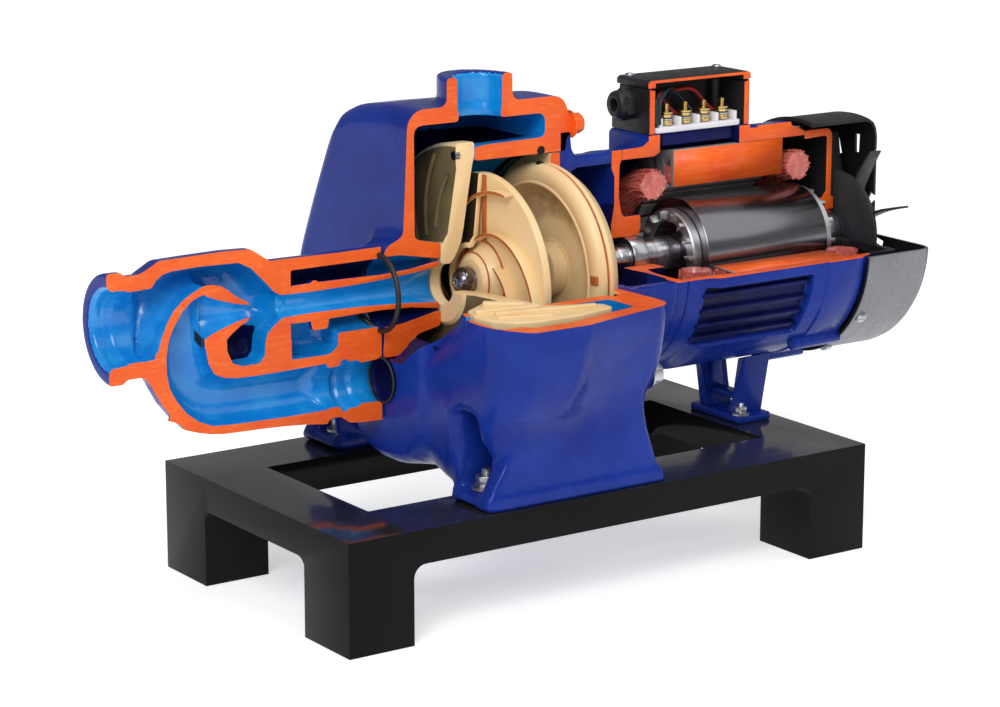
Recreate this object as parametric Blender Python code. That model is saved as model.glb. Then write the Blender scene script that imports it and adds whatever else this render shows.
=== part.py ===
"""Sectioned self-priming jet pump with close-coupled motor on a four-legged stand.

Design dimensions are in millimetres: X from the stand's suction end, Y from the
shaft plane (the visitor's side is -Y), Z from the shaft axis.  The last step of
every shape turns them into metres with the origin on the floor under the middle.
The quarter above and in front of the shaft is cut away, and the ejector is cut
in half, so that the water path and the motor can be seen.
"""

from math import cos, pi, radians, sin

import bmesh
import bpy
from mathutils import Vector

# ---------------------------------------------------------------- dimensions
AXIS_Z = 208.0  # shaft axis above the floor
MID_X = 213.0  # middle of the unit, from the stand's suction end
CUT_Z = -3.0  # height of the level cut, from the axis
GAP = 0.3  # between touching pieces

STAND_L, STAND_W, STAND_H = 436.0, 245.0, 78.0
LEG_X, LEG_Y = 50.0, 54.0
RAIL_H = 23.5
RAIL_LONG, RAIL_END = 57.0, 50.0  # widths of the long and end rails

JOINT_X = 104.0  # ejector to casing
BODY_X0, BODY_X1 = 124.0, 253.0  # casing body
WALL = 10.0
NARROW = 0.86  # width of the casing at the motor end, of its full width
PORT_X, PORT_R, PORT_BORE, PORT_TOP = 185.0, 27.0, 18.0, 142.0
RING_IN, RING_OUT, RING_X0 = 83.0, 94.0, 181.0

IMP_R, IMP_X = 74.0, 188.0
VANES = 5
SHAFT_R = 8.0

MOTOR_X0, MOTOR_X1, MOTOR_R, MOTOR_IN = 298.0, 455.0, 85.0, 74.0
FRONT_R = 78.0  # the motor is slimmer at its front
BORE_R, ROTOR_R = 47.0, 39.0
STATOR_X0, STATOR_X1 = 354.0, 455.0
COVER_R, COVER_X0, COVER_X1, SHEET = 87.3, 466.0, 530.0, 2.0
FAN_R, FAN_X0, FAN_X1, BLADES = 72.0, 508.5, 523.0, 9

for old in list(bpy.data.objects):
    bpy.data.objects.remove(old, do_unlink=True)


# ------------------------------------------------------------------ helpers
def at(x, y, z):
    """A point of the part from its design dimensions."""
    return Vector(((x - MID_X) / 1000, y / 1000, (z + AXIS_Z) / 1000))


def paint(name, rgb, rough, metal=0.0):
    found = bpy.data.materials.get(name)
    if found:
        return found
    made = bpy.data.materials.new(name)
    made.use_nodes = True
    shader = made.node_tree.nodes["Principled BSDF"]
    shader.inputs["Base Color"].default_value = (*rgb, 1)
    shader.inputs["Roughness"].default_value = rough
    shader.inputs["Metallic"].default_value = metal
    made.diffuse_color = (*rgb, 1)
    return made


BLUE = ("casing_blue", (0.02, 0.04, 0.30), 0.35)
CREAM = ("impeller_cream", (0.84, 0.62, 0.34), 0.5)
BLACK = ("stand_black", (0.02, 0.02, 0.02), 0.2)
STEEL = ("bright_steel", (0.6, 0.6, 0.62), 0.25, 1.0)
CORE = ("core_steel", (0.35, 0.35, 0.37), 0.4, 1.0)
COPPER = ("winding_red", (0.75, 0.2, 0.16), 0.5)
GREY = ("cover_grey", (0.2, 0.2, 0.21), 0.45)
PLASTIC = ("black_plastic", (0.015, 0.015, 0.017), 0.45)
WHITE = ("board_white", (0.8, 0.8, 0.78), 0.5)
BRASS = ("post_brass", (0.7, 0.5, 0.2), 0.3, 1.0)
RUBBER = ("seal_rubber", (0.012, 0.012, 0.012), 0.6)


def piece(name, mesh_from, finish=None):
    """An object from a bmesh, its faces turned outwards and round parts smooth."""
    bmesh.ops.remove_doubles(mesh_from, verts=mesh_from.verts, dist=1e-6)
    bmesh.ops.recalc_face_normals(mesh_from, faces=mesh_from.faces)
    data = bpy.data.meshes.new(name)
    mesh_from.to_mesh(data)
    mesh_from.free()
    made = bpy.data.objects.new(name, data)
    bpy.context.scene.collection.objects.link(made)
    if finish:
        data.materials.append(paint(*finish))
    data.shade_smooth()
    data.set_sharp_from_angle(angle=radians(32))
    return made


def prism(outline, low, high, place):
    """An outline of (a, b) pairs extruded from low to high, put by place(a, b, c)."""
    bm = bmesh.new()
    under = [bm.verts.new(place(a, b, low)) for a, b in outline]
    over = [bm.verts.new(place(a, b, high)) for a, b in outline]
    bm.faces.new(under)
    bm.faces.new(over[::-1])
    for i in range(len(outline)):
        j = (i + 1) % len(outline)
        bm.faces.new((under[i], under[j], over[j], over[i]))
    return bm


def side(outline, y0, y1):
    return prism(outline, y0, y1, lambda a, b, c: at(a, c, b))


def across(outline, x0, x1):
    return prism(outline, x0, x1, lambda a, b, c: at(c, a, b))


def block(x0, x1, y0, y1, z0, z1):
    return side([(x0, z0), (x1, z0), (x1, z1), (x0, z1)], y0, y1)


def turned(profile, steps=32, y=0.0, z=0.0):
    """A closed profile of (x, radius) turned round a line along X."""
    bm = bmesh.new()
    rings = []
    for k in range(steps):
        a = 2 * pi * (k + 0.5) / steps
        rings.append([
            bm.verts.new(at(x, y - r * cos(a), z + r * sin(a))) for x, r in profile
        ])
    count = len(profile)
    for k in range(steps):
        here, there = rings[k], rings[(k + 1) % steps]
        for i in range(count):
            j = (i + 1) % count
            ends = []
            for vert in (here[i], here[j], there[j], there[i]):
                if all((vert.co - other.co).length > 1e-7 for other in ends):
                    ends.append(vert)
            if len(ends) > 2:
                bm.faces.new(ends)
    return bm


def turned_up(profile, steps=32, x=0.0, y=0.0):
    """A closed profile of (radius, z) turned round a line along Z."""
    bm = bmesh.new()
    rings = []
    for k in range(steps):
        a = 2 * pi * (k + 0.5) / steps
        rings.append([
            bm.verts.new(at(x + r * cos(a), y + r * sin(a), z)) for r, z in profile
        ])
    count = len(profile)
    for k in range(steps):
        here, there = rings[k], rings[(k + 1) % steps]
        for i in range(count):
            j = (i + 1) % count
            ends = []
            for vert in (here[i], here[j], there[j], there[i]):
                if all((vert.co - other.co).length > 1e-7 for other in ends):
                    ends.append(vert)
            if len(ends) > 2:
                bm.faces.new(ends)
    return bm


def work(target, other_mesh, how):
    """One Boolean, applied, with its second shape (a mesh or an object) used up."""
    other = other_mesh if isinstance(other_mesh, bpy.types.Object) else piece("tool", other_mesh)
    step = target.modifiers.new(how, "BOOLEAN")
    step.operation = how
    step.solver = "EXACT"
    step.object = other
    bpy.context.view_layer.update()
    graph = bpy.context.evaluated_depsgraph_get()
    result = bpy.data.meshes.new_from_object(target.evaluated_get(graph))
    clean = bmesh.new()
    clean.from_mesh(result)
    bmesh.ops.remove_doubles(clean, verts=clean.verts, dist=2e-6)
    bmesh.ops.dissolve_degenerate(clean, edges=clean.edges, dist=2e-6)
    clean.to_mesh(result)
    clean.free()
    target.modifiers.clear()
    before = target.data
    target.data = result
    result.name = target.name
    bpy.data.meshes.remove(before)
    bpy.data.objects.remove(other, do_unlink=True)
    while len(result.materials) > 1:
        result.materials.pop(index=len(result.materials) - 1)
    result.shade_smooth()
    result.set_sharp_from_angle(angle=radians(32))


def add(target, other_mesh):
    work(target, other_mesh, "UNION")


def cut(target, other_mesh):
    work(target, other_mesh, "DIFFERENCE")


def open_quarter(target, y=0.0, z=CUT_Z):
    """Takes away everything above and in front of the shaft."""
    cut(target, block(-200, 700, -300, y, z, 300))


# -------------------------------------------------------------------- stand
HALF = STAND_W / 2
FLOOR, DECK = -AXIS_Z, STAND_H - AXIS_Z
for name, y0 in (("stand_front_rail", -HALF), ("stand_rear_rail", HALF - RAIL_LONG)):
    piece(name, block(0, STAND_L, y0, y0 + RAIL_LONG, DECK - RAIL_H, DECK), BLACK)
INSIDE = HALF - RAIL_LONG - GAP
for name, x0 in (("stand_left_rail", 0), ("stand_right_rail", STAND_L - RAIL_END)):
    piece(name, block(x0, x0 + RAIL_END, -INSIDE, INSIDE, DECK - RAIL_H, DECK), BLACK)
for name, x0, y0 in (
    ("leg_front_left", 0, -HALF),
    ("leg_front_right", STAND_L - LEG_X, -HALF),
    ("leg_rear_left", 0, HALF - LEG_Y),
    ("leg_rear_right", STAND_L - LEG_X, HALF - LEG_Y),
):
    piece(
        name,
        block(x0, x0 + LEG_X, y0, y0 + LEG_Y, FLOOR, DECK - RAIL_H - GAP),
        BLACK,
    )

# ------------------------------------------------------------------ ejector
# Outline of the half body on the shaft plane, and its three water spaces.
BODY_OUT = [
    (-78, 34), (-66, 40), (1, 41), (14, 32), (JOINT_X - GAP, 33),
    (JOINT_X - GAP, -88), (77, -86), (71, -80), (-20, -80), (-40, -76),
    (-58, -65), (-72, -45), (-78, -34),
]
CHAMBER = [
    (-76, 24), (-66, 31), (-55, 34), (0, 34), (12, 19), (22, 9), (22, -10),
    (13, -20), (12, -34), (8, -37), (-12, -37), (-17, -28), (-16, -18.2),
    (-34, -18.2), (-34, 21), (-49, 13), (-61, -1), (-68, -18), (-76, -24),
]
DRIVE = [
    (-33.5, 14.5), (-42, 12), (-50, 6), (-60, -12), (-62, -35), (-55, -54),
    (-39, -70), (-28, -73), (64, -75), (64, -47), (7, -47), (-19, -45),
    (-27, -41), (-31, -31), (-33.5, -19),
]
ejector = piece("ejector_body", side(BODY_OUT, -20, 38), BLUE)
add(ejector, turned([(-104, 37), (-92, 37), (-89, 34), (-70, 34), (-70, 20), (-104, 20)]))
cut(ejector, turned([(-105, 0), (-105, 25), (-72, 23.5), (-72, 0)]))
cut(ejector, side(CHAMBER, -30, 30))
cut(ejector, side(DRIVE, -31, 17))
cut(ejector, turned([(20, 0), (20, 8), (33, 8), (33, 0)], 24))
cut(ejector, turned([(32, 0), (32, 25.5), (110, 25.5), (110, 0)]))
cut(ejector, side([(32, -10), (32, -37.5), (60, -37.5), (69, -33), (69, -10)], -32, 20))
cut(ejector, turned([(60, 0), (60, 16), (110, 16), (110, 0)], 24, z=-61))
# groove for the joint's O-ring
cut(ejector, turned([(101, 20), (101, 30.2), (110, 30.2), (110, 20)]))
cut(ejector, block(-200, 200, -100, 0, -120, 120))

piece_nozzle = piece(
    "ejector_nozzle",
    turned([(-33.7, 14.4), (-33.7, 17.9), (-16, 17.9), (-12, 13.5), (0, 6.5), (0, 4), (-12, 6)], 24),
    BLUE,
)
add(piece_nozzle, turned([(-33.7, 16), (-33.7, 20.4), (-22, 20.4), (-16, 16)], 24))
cut(piece_nozzle, block(-60, 20, -60, 0, -60, 60))
cut(piece_nozzle, block(-60, 20, -1, 60, -60, -17.9))
cut(piece_nozzle, block(-60, 20, 17.9, 60, -60, 60))

tube = piece(
    "venturi_tube",
    turned([(32.3, 7.5), (32.3, 13), (104, 13), (150, 16), (150, 12.5), (100, 9)], 24),
    BLUE,
)
cut(tube, block(0, 200, -60, 0, -60, 60))

ring_at, ring_r, ring_bar = 103.9, 27.8, 1.9
piece(
    "joint_o_ring",
    turned(
        [
            (ring_at + ring_bar * cos(pi * i / 4), ring_r + ring_bar * sin(pi * i / 4))
            for i in range(8)
        ],
        32,
    ),
    RUBBER,
)

# ------------------------------------------------------------------- casing
# Cross-section of the body seen along the shaft: (y, z), the +Y half.
HALF_OUT = [(38, 122), (74, 117.5), (92, 110), (105, 94), (124, 50), (141, 6), (142, -10), (139.5, -22), (131, -48), (119, -68), (78, -84), (72, -118)]
HALF_IN = [(34, 111.5), (66, 107), (82, 100), (95, 87), (113, 46), (131, 2), (129, -18), (120, -42), (109, -58), (67, -74), (61, -106)]


def both(half):
    return half + [(-y, z) for y, z in reversed(half)]


FOOT = [(113, -129.7), (255, -129.7), (252, -122), (236, -66), (138, -66), (128, -100), (116, -122)]
NECK = [(30, 33), (45, 15), (50, -20), (50, -90), (38, -112), (15, -120)]
# Below the level cut the near corner swells towards the suction end.
SWELL = [(-76, CUT_Z - 0.5), (-134, CUT_Z - 0.5), (-130, -40), (-118, -64), (-76, -82)]
SWELL_IN = [(-88, CUT_Z + 1), (-125, CUT_Z + 1), (-120, -40), (-108, -54), (-88, -60)]
# The inlet neck's near half is gone down to this line.
NOTCH = [(98, -46), (113, -46), (122, -43), (131, -35), (151, -33), (166, -29), (166, 50), (98, 50)]

def narrowing(outline, stations):
    """An outline of (y, z) carried along X, with its width scaled at each (x, scale)."""
    bm = bmesh.new()
    rings = [[bm.verts.new(at(x, y * scale, z)) for y, z in outline] for x, scale in stations]
    bm.faces.new(rings[0])
    bm.faces.new(rings[-1][::-1])
    for here, there in zip(rings, rings[1:]):
        for i in range(len(outline)):
            j = (i + 1) % len(outline)
            bm.faces.new((here[i], here[j], there[j], there[i]))
    return bm


casing = piece("pump_casing", narrowing(both(HALF_OUT), [(BODY_X0, 1), (150, 1), (BODY_X1, NARROW)]), BLUE)
add(casing, across(both(NECK), JOINT_X, BODY_X0 + 2))
for y0, y1 in ((-115, -73), (73, 115)):
    add(casing, side(FOOT, y0, y1))
add(casing, across(SWELL, JOINT_X + 1, BODY_X0 + 2))
add(casing, turned_up([(0, 110), (PORT_R, 110), (PORT_R, PORT_TOP), (0, PORT_TOP)], 32, PORT_X))
cut(casing, narrowing(both(HALF_IN), [(BODY_X0 + WALL, 1), (150, 1), (BODY_X1 - 13, 0.88)]))
cut(casing, across(SWELL_IN, JOINT_X + 9, BODY_X0 + WALL + 2))
add(casing, turned([(120, 24), (120, 34), (152, 30), (152, 20)]))
add(casing, turned([(RING_X0, RING_IN), (RING_X0, RING_OUT), (BODY_X1 - 5, RING_OUT), (BODY_X1 - 5, RING_IN)]))
cut(casing, turned([(100, 0), (100, 25.5), (122, 25.5), (150, 20), (170, 20), (170, 0)]))
cut(casing, turned([(90, 20), (90, 30.2), (107, 30.2), (107, 20)]))
cut(casing, turned([(100, 0), (100, 15), (136, 15), (136, 0)], 24, z=-61))
cut(casing, turned([(200, 0), (200, RING_IN), (300, RING_IN), (300, 0)]))
cut(casing, turned_up([(0, 100), (PORT_BORE, 100), (PORT_BORE + 2, 150), (0, 150)], 32, PORT_X))
open_quarter(casing)
# the suction gallery's near wall goes with the ejector's missing half
cut(casing, side(NOTCH, -75.7, 0))

LINER_X1 = 212.0
liner = piece("volute_liner", side([(BODY_X0 + WALL + GAP, CUT_Z + GAP), (LINER_X1, CUT_Z + GAP), (LINER_X1, -0.3), (BODY_X0 + WALL + GAP, -0.3)], -116, -84), CREAM)
add(liner, side([(JOINT_X + 10, -12), (140, -12), (140, -0.6), (JOINT_X + 10, -0.6)], -121, -89))
add(liner, side([(BODY_X0 + WALL + GAP, -14), (174, -14), (174, -1), (BODY_X0 + WALL + GAP, -1)], -121, -97.2))

diffuser = piece(
    "diffuser",
    turned([
        (152.3, 16), (152.3, 27), (157, 28), (165, 80), (165, 96.5), (180.5, 96.5),
        (180.5, 86), (172, 80), (163.5, 28), (163.5, 16),
    ]),
    CREAM,
)
open_quarter(diffuser)

# ------------------------------------------------------------ rotating parts
impeller = piece(
    "impeller",
    turned([(IMP_X, 24), (IMP_X, IMP_R), (IMP_X + 6, IMP_R), (IMP_X + 6, 22), (206, 18), (206, SHAFT_R + GAP), (176.3, SHAFT_R + GAP), (176.3, 16), (180, 20)]),
    CREAM,
)
SPIRAL_IN, SPIRAL_OUT, SWEEP, THICK, HIGH, EYE_R = 27.0, 73.0, radians(112), 2.6, 8.0, 24.0


def vane(turn, high):
    """One back-swept vane standing on the disc's suction side."""
    near, far = [], []
    for i in range(9):
        t = i / 8
        r = SPIRAL_IN + (SPIRAL_OUT - SPIRAL_IN) * t ** 1.15
        a = turn - SWEEP * t
        for row, off in ((near, -THICK / 2), (far, THICK / 2)):
            row.append((-(r + off) * cos(a), (r + off) * sin(a)))
    return across(near + far[::-1], IMP_X - high, IMP_X + 1)


def shroud_face(r):
    """Where the front shroud's outer face is, at radius r."""
    return 168.8 + (r - EYE_R) * 0.183


# The front shroud is left on the far half only, with the vanes up to it there.
vanes = [radians(100) + 2 * pi * k / VANES for k in range(VANES)]
shroud = piece("front_half", turned([
    (shroud_face(EYE_R), EYE_R), (shroud_face(IMP_R), IMP_R), (shroud_face(IMP_R) + 4, IMP_R), (shroud_face(EYE_R) + 4, EYE_R),
]), CREAM)
for turn in vanes:
    add(shroud, vane(turn, 20))
cut(shroud, turned([(140, 0), (140, 100), (shroud_face(100) + 1, 100), (shroud_face(0) + 1, 0)]))
cut(shroud, block(100, 250, -100, 0, -100, 100))
for turn in vanes:
    add(impeller, vane(turn, HIGH))
work(impeller, shroud, "UNION")
nut = piece("impeller_nut", turned([(163, 0), (163.6, 4), (166, 7.5), (170, 9.6), (176, 9.6), (176, 0)], 24), STEEL)
shaft = piece(
    "shaft",
    turned([
        (176.3, 0), (176.3, SHAFT_R), (302, SHAFT_R), (302, 9.5), (506, 9.5), (506, 7), (519, 7), (519, 0),
    ], 24),
    STEEL,
)
piece("mechanical_seal", turned([(206.3, 8.3), (206.3, 15), (212, 17), (224, 17), (232, 14), (232, 8.3)], 24), STEEL)

rotor = piece(
    "rotor_core",
    turned([
        (348, 25), (348, 31), (356, 31.5), (357, ROTOR_R), (467, ROTOR_R), (468, 36.5),
        (479, 36.5), (479, 28), (471, 24), (471, 9.8), (364, 9.8), (364, 24),
    ]),
    STEEL,
)

fan = piece("fan", turned([(FAN_X0, 9.8), (FAN_X0, 44), (FAN_X0 + 3, 44), (FAN_X0 + 3, 20), (FAN_X1 - 3, 18), (FAN_X1 - 3, 7.3), (506.3, 7.3), (506.3, 9.8)], 27), PLASTIC)
for k in range(BLADES):
    a = radians(20 + 360 * k / BLADES)
    u, v = Vector((-cos(a), sin(a))), Vector((sin(a), cos(a)))
    corner = [u * 16 - v * 1.2, u * FAN_R - v * 1.2, u * FAN_R + v * 1.2, u * 16 + v * 1.2]
    add(fan, across([(p.x, p.y) for p in corner], FAN_X0 + 0.7, FAN_X1))

# ------------------------------------------------------------ back of the pump
seal_plate = piece(
    "seal_plate",
    turned([(244, 40), (244, 82.1), (253, 82.1), (253, 40)], 40),
    CREAM,
)
open_quarter(seal_plate)
add(seal_plate, turned([
    (232, 60), (232, 72), (235, 75.5), (245, 75.5), (253, 70), (253, 19), (246, 19), (246, 30), (249, 36),
], 40))

bracket = piece(
    "motor_bracket",
    turned([
        (BODY_X1 + GAP, 60), (BODY_X1 + GAP, 96), (261, 96), (264, FRONT_R), (MOTOR_X0 - GAP, FRONT_R), (MOTOR_X0 - GAP, 70), (262, 70), (262, 60),
    ]),
    BLUE,
)
open_quarter(bracket)

# -------------------------------------------------------------------- motor
frame = piece(
    "motor_frame",
    turned([
        (MOTOR_X0 + 9.3, 71), (MOTOR_X0 + 9.3, FRONT_R), (326, FRONT_R), (333, MOTOR_R), (MOTOR_X1 + 15, MOTOR_R), (MOTOR_X1 + 21, 78), (MOTOR_X1 + 21, MOTOR_IN),
    ], 40),
    BLUE,
)
# seat for the terminal box and the recessed panel of cooling ribs
add(frame, block(331, 424, -48, 48, 60, 86.5))
cut(frame, turned([(300, 0), (300, 71), (336, 71), (340, MOTOR_IN), (500, MOTOR_IN), (500, 0)], 40))
cut(frame, block(341, 414, -30, 30, 60, 95))
open_quarter(frame)
piece("front_shield", turned([(MOTOR_X0, 15.5), (MOTOR_X0, FRONT_R), (307, FRONT_R), (307, 30), (324, 30), (324, 15.5)], 40), BLUE)
open_quarter(bpy.data.objects["front_shield"])
piece("stator_core", turned([(STATOR_X0, BORE_R), (STATOR_X0, MOTOR_IN - GAP), (STATOR_X1, MOTOR_IN - GAP), (STATOR_X1, BORE_R)], 40), CORE)
open_quarter(bpy.data.objects["stator_core"])


def coil_ring(name, x, middle, deep, wide):
    made = piece(
        name,
        turned([(x + wide * cos(pi * i / 5), middle + deep * sin(pi * i / 5)) for i in range(10)], 32),
        COPPER,
    )
    open_quarter(made)


coil_ring("winding_front", 339.5, 49.5, 12, 14.2)
coil_ring("winding_rear", 469.3, 56, 9.5, 14)
for name, x in (("bearing_front", 309), ("bearing_rear", 488)):
    piece(name, turned([(x, 9.8), (x, 15.2), (x + 13, 15.2), (x + 13, 9.8)], 24), STEEL)
piece(
    "rear_shield",
    turned([
        (MOTOR_X1 + 21.3, 71), (MOTOR_X1 + 21.3, 77), (499, 77), (503, 72), (503, 15.5), (486, 15.5), (486, 24), (498, 24), (498, 71),
    ], 40),
    PLASTIC,
)
open_quarter(bpy.data.objects["rear_shield"])

cover = piece(
    "fan_cover",
    turned([
        (COVER_X0, COVER_R - SHEET), (COVER_X0, COVER_R), (COVER_X1 - 6, COVER_R), (COVER_X1, COVER_R - 6),
        (COVER_X1, 18), (COVER_X1 - SHEET, 18), (COVER_X1 - SHEET, COVER_R - 7), (COVER_X1 - 7, COVER_R - SHEET),
    ], 40),
    GREY,
)
open_quarter(cover, y=-20)

# ------------------------------------------------------------- terminal box
box = piece("terminal_box", block(331, 423, 0, 45, 86.8, 108), PLASTIC)
add(box, block(331, 423, 0, 36, 100, 120))
cut(box, block(337, 417.5, -5, 31, 80, 130))
lid = piece("terminal_lid", block(330, 424, 0, 38, 120.3, 126), PLASTIC)
board = piece("terminal_board", block(338, 417, 2, 30, 86.8, 91), WHITE)
add(board, block(346, 411, 4, 28, 77, 88))
for k, x in enumerate((353, 370, 387, 404)):
    piece("terminal_post_%d" % (k + 1), turned_up([(0, 91.3), (4.2, 91.3), (4.2, 97), (2, 97.5), (2, 107), (0, 107)], 12, x, 9), BRASS)
gland = piece("cable_gland", turned([(316, 5), (316, 10), (322, 12), (330.7, 12), (330.7, 5)], 20, 22, 107.5), PLASTIC)

# --------------------------------------------------------------- motor foot
foot = piece("motor_foot", block(394, 426, -30, 30, -129.7, -125), BLUE)
for s in (-1, 1):
    add(foot, across([(s * 14, -126), (s * 21, -126), (s * 30, -80), (s * 23, -80)], 397, 423))
cut(foot, turned([(380, 0), (380, MOTOR_R + GAP), (440, MOTOR_R + GAP), (440, 0)], 40))

# The turning pieces hang on the shaft's axis.
axis = bpy.data.objects.new("shaft_axis", None)
bpy.context.scene.collection.objects.link(axis)
axis.location = at(MID_X, 0, 0)
bpy.context.view_layer.update()
for name in ("shaft", "impeller", "impeller_nut", "mechanical_seal", "rotor_core", "fan"):
    turning = bpy.data.objects[name]
    turning.parent = axis
    turning.matrix_parent_inverse = axis.matrix_world.inverted()
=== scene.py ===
"""The looks of the sectioned jet pump on its stand.

Design dimensions are in millimetres: X from the stand's suction end, Y from the
shaft plane (the visitor's side is -Y), Z from the shaft axis.
"""

from math import acos, atan2, cos, pi, radians, sin, sqrt

import bmesh
import bpy
import numpy as np
from mathutils import Matrix, Vector


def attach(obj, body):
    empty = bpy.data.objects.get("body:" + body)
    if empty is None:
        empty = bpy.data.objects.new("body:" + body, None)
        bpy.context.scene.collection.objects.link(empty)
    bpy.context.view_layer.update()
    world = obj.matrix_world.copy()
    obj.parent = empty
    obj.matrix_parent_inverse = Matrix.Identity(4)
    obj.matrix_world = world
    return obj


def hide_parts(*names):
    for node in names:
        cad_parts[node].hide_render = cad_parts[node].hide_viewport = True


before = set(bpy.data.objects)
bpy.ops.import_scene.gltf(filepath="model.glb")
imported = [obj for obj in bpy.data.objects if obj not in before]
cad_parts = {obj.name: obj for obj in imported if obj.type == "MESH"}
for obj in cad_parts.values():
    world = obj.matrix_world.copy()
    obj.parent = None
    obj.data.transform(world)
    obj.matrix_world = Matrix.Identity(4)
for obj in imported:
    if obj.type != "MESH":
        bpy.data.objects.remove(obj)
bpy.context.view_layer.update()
STILL, ROTOR = "static_unit", "rotor"
MID_X, AXIS_Z, CUT_Z = 213.0, 208.0, -3.0
RNG = np.random.default_rng(7)


def at(x, y, z):
    return Vector(((x - MID_X) / 1000, y / 1000, (z + AXIS_Z) / 1000))


# =========================================================== node materials
class Nodes:
    """A small helper for building a material's node tree."""

    def __init__(self, name):
        self.mat = bpy.data.materials.new(name)
        self.mat.use_nodes = True
        self.tree = self.mat.node_tree
        self.shader = self.tree.nodes["Principled BSDF"]
        self.coord = self.new("ShaderNodeTexCoord").outputs["Object"]

    def new(self, kind, **settings):
        made = self.tree.nodes.new(kind)
        for key, value in settings.items():
            setattr(made, key, value)
        return made

    def link(self, a, b):
        self.tree.links.new(a, b)

    def set(self, **values):
        for key, value in values.items():
            self.shader.inputs[key.replace("_", " ")].default_value = value

    def scaled(self, scale, rotate=(0, 0, 0), shift=(0, 0, 0)):
        made = self.new("ShaderNodeMapping")
        made.inputs["Scale"].default_value = scale if hasattr(scale, "__len__") else (scale,) * 3
        made.inputs["Rotation"].default_value = rotate
        made.inputs["Location"].default_value = shift
        self.link(self.coord, made.inputs["Vector"])
        return made.outputs["Vector"]

    def noise(self, scale, detail=3.0, rough=0.55, vector=None, distortion=0.0):
        made = self.new("ShaderNodeTexNoise")
        made.inputs["Scale"].default_value = scale
        made.inputs["Detail"].default_value = detail
        made.inputs["Roughness"].default_value = rough
        made.inputs["Distortion"].default_value = distortion
        self.link(vector or self.coord, made.inputs["Vector"])
        return made.outputs["Fac"]

    def cells(self, scale, vector=None, feature="F1"):
        made = self.new("ShaderNodeTexVoronoi", feature=feature)
        made.inputs["Scale"].default_value = scale
        self.link(vector or self.coord, made.inputs["Vector"])
        return made.outputs["Distance"]

    def span(self, value, a, b, c=0.0, d=1.0, smooth=False):
        made = self.new("ShaderNodeMapRange", interpolation_type="SMOOTHSTEP" if smooth else "LINEAR")
        made.clamp = True
        for key, number in (("From Min", a), ("From Max", b), ("To Min", c), ("To Max", d)):
            made.inputs[key].default_value = number
        self.link(value, made.inputs["Value"])
        return made.outputs["Result"]

    def math(self, how, a, b=None, c=None):
        made = self.new("ShaderNodeMath", operation=how)
        for slot, value in zip(made.inputs, (a, b, c)):
            if value is None:
                continue
            if hasattr(value, "links"):
                self.link(value, slot)
            else:
                slot.default_value = value
        return made.outputs["Value"]

    def mix(self, factor, a, b, how="MIX"):
        made = self.new("ShaderNodeMix", data_type="RGBA", blend_type=how)
        for slot, value in ((made.inputs["Factor"], factor), (made.inputs[6], a), (made.inputs[7], b)):
            if hasattr(value, "links"):
                self.link(value, slot)
            elif hasattr(value, "__len__"):
                slot.default_value = (*value[:3], 1.0)
            else:
                slot.default_value = value
        return made.outputs[2]

    def bump(self, *layers):
        """layers are (height, strength, distance in metres)."""
        normal = None
        for height, strength, distance in layers:
            made = self.new("ShaderNodeBump")
            made.inputs["Strength"].default_value = strength
            made.inputs["Distance"].default_value = distance
            self.link(height, made.inputs["Height"])
            if normal is not None:
                self.link(normal, made.inputs["Normal"])
            normal = made.outputs["Normal"]
        self.link(normal, self.shader.inputs["Normal"])
        return normal

    def split(self):
        made = self.new("ShaderNodeSeparateXYZ")
        self.link(self.coord, made.inputs["Vector"])
        return made.outputs["X"], made.outputs["Y"], made.outputs["Z"]

    def radius(self):
        """Distance from the shaft's axis, in metres."""
        _, y, z = self.split()
        z = self.math("SUBTRACT", z, AXIS_Z / 1000)
        return self.math("SQRT", self.math("ADD", self.math("MULTIPLY", y, y), self.math("MULTIPLY", z, z)))


def linear(r, g, b):
    """A colour given as 0 to 255 screen values."""
    return tuple((v / 255 / 12.92) if v / 255 <= 0.04045 else ((v / 255 + 0.055) / 1.055) ** 2.4 for v in (r, g, b))


def enamel(name, colour, deep, bright, rough=0.22, coat=0.5, cast=0.35, grime_and_shade=(0.03, 0.03, 0.04), shine=0.12):
    """Thick gloss enamel on a casting: slow colour drift, orange peel, cast skin under it, rubbed edges, and darker
    hollows that are partly dirt and partly painted shade.
    """
    n = Nodes(name)
    drift = n.noise(9.0, 2.0)
    patch = n.noise(38.0, 4.0, 0.6)
    base = n.mix(n.span(drift, 0.3, 0.7), deep, colour)
    base = n.mix(n.span(patch, 0.45, 0.75, 0.0, 0.35), base, bright)
    geo = n.new("ShaderNodeNewGeometry").outputs["Pointiness"]
    edge = n.span(geo, 0.515, 0.56, 0.0, 1.0)
    wear = n.math("MULTIPLY", edge, n.span(n.noise(160.0, 5.0, 0.7), 0.45, 0.62))
    base = n.mix(n.math("MULTIPLY", wear, 0.35), base, bright)
    # darker in the hollows: partly dirt, partly painted shade
    hollow = n.span(geo, 0.485, 0.44, 0.0, 0.55)
    base = n.mix(n.math("MULTIPLY", hollow, n.span(n.noise(70.0, 4.0), 0.3, 0.6)), base, grime_and_shade)
    n.link(base, n.shader.inputs["Base Color"])
    spots = n.span(n.noise(260.0, 3.0), 0.35, 0.75, rough * 0.75, rough * 1.5)
    n.link(spots, n.shader.inputs["Roughness"])
    n.set(Coat_Weight=coat, Coat_Roughness=0.08, IOR=1.5, Specular_IOR_Level=shine)
    n.bump((n.noise(95.0, 4.0, 0.6), cast, 0.0006), (n.noise(520.0, 2.0), 0.14, 0.0002))
    return n.mat


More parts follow.
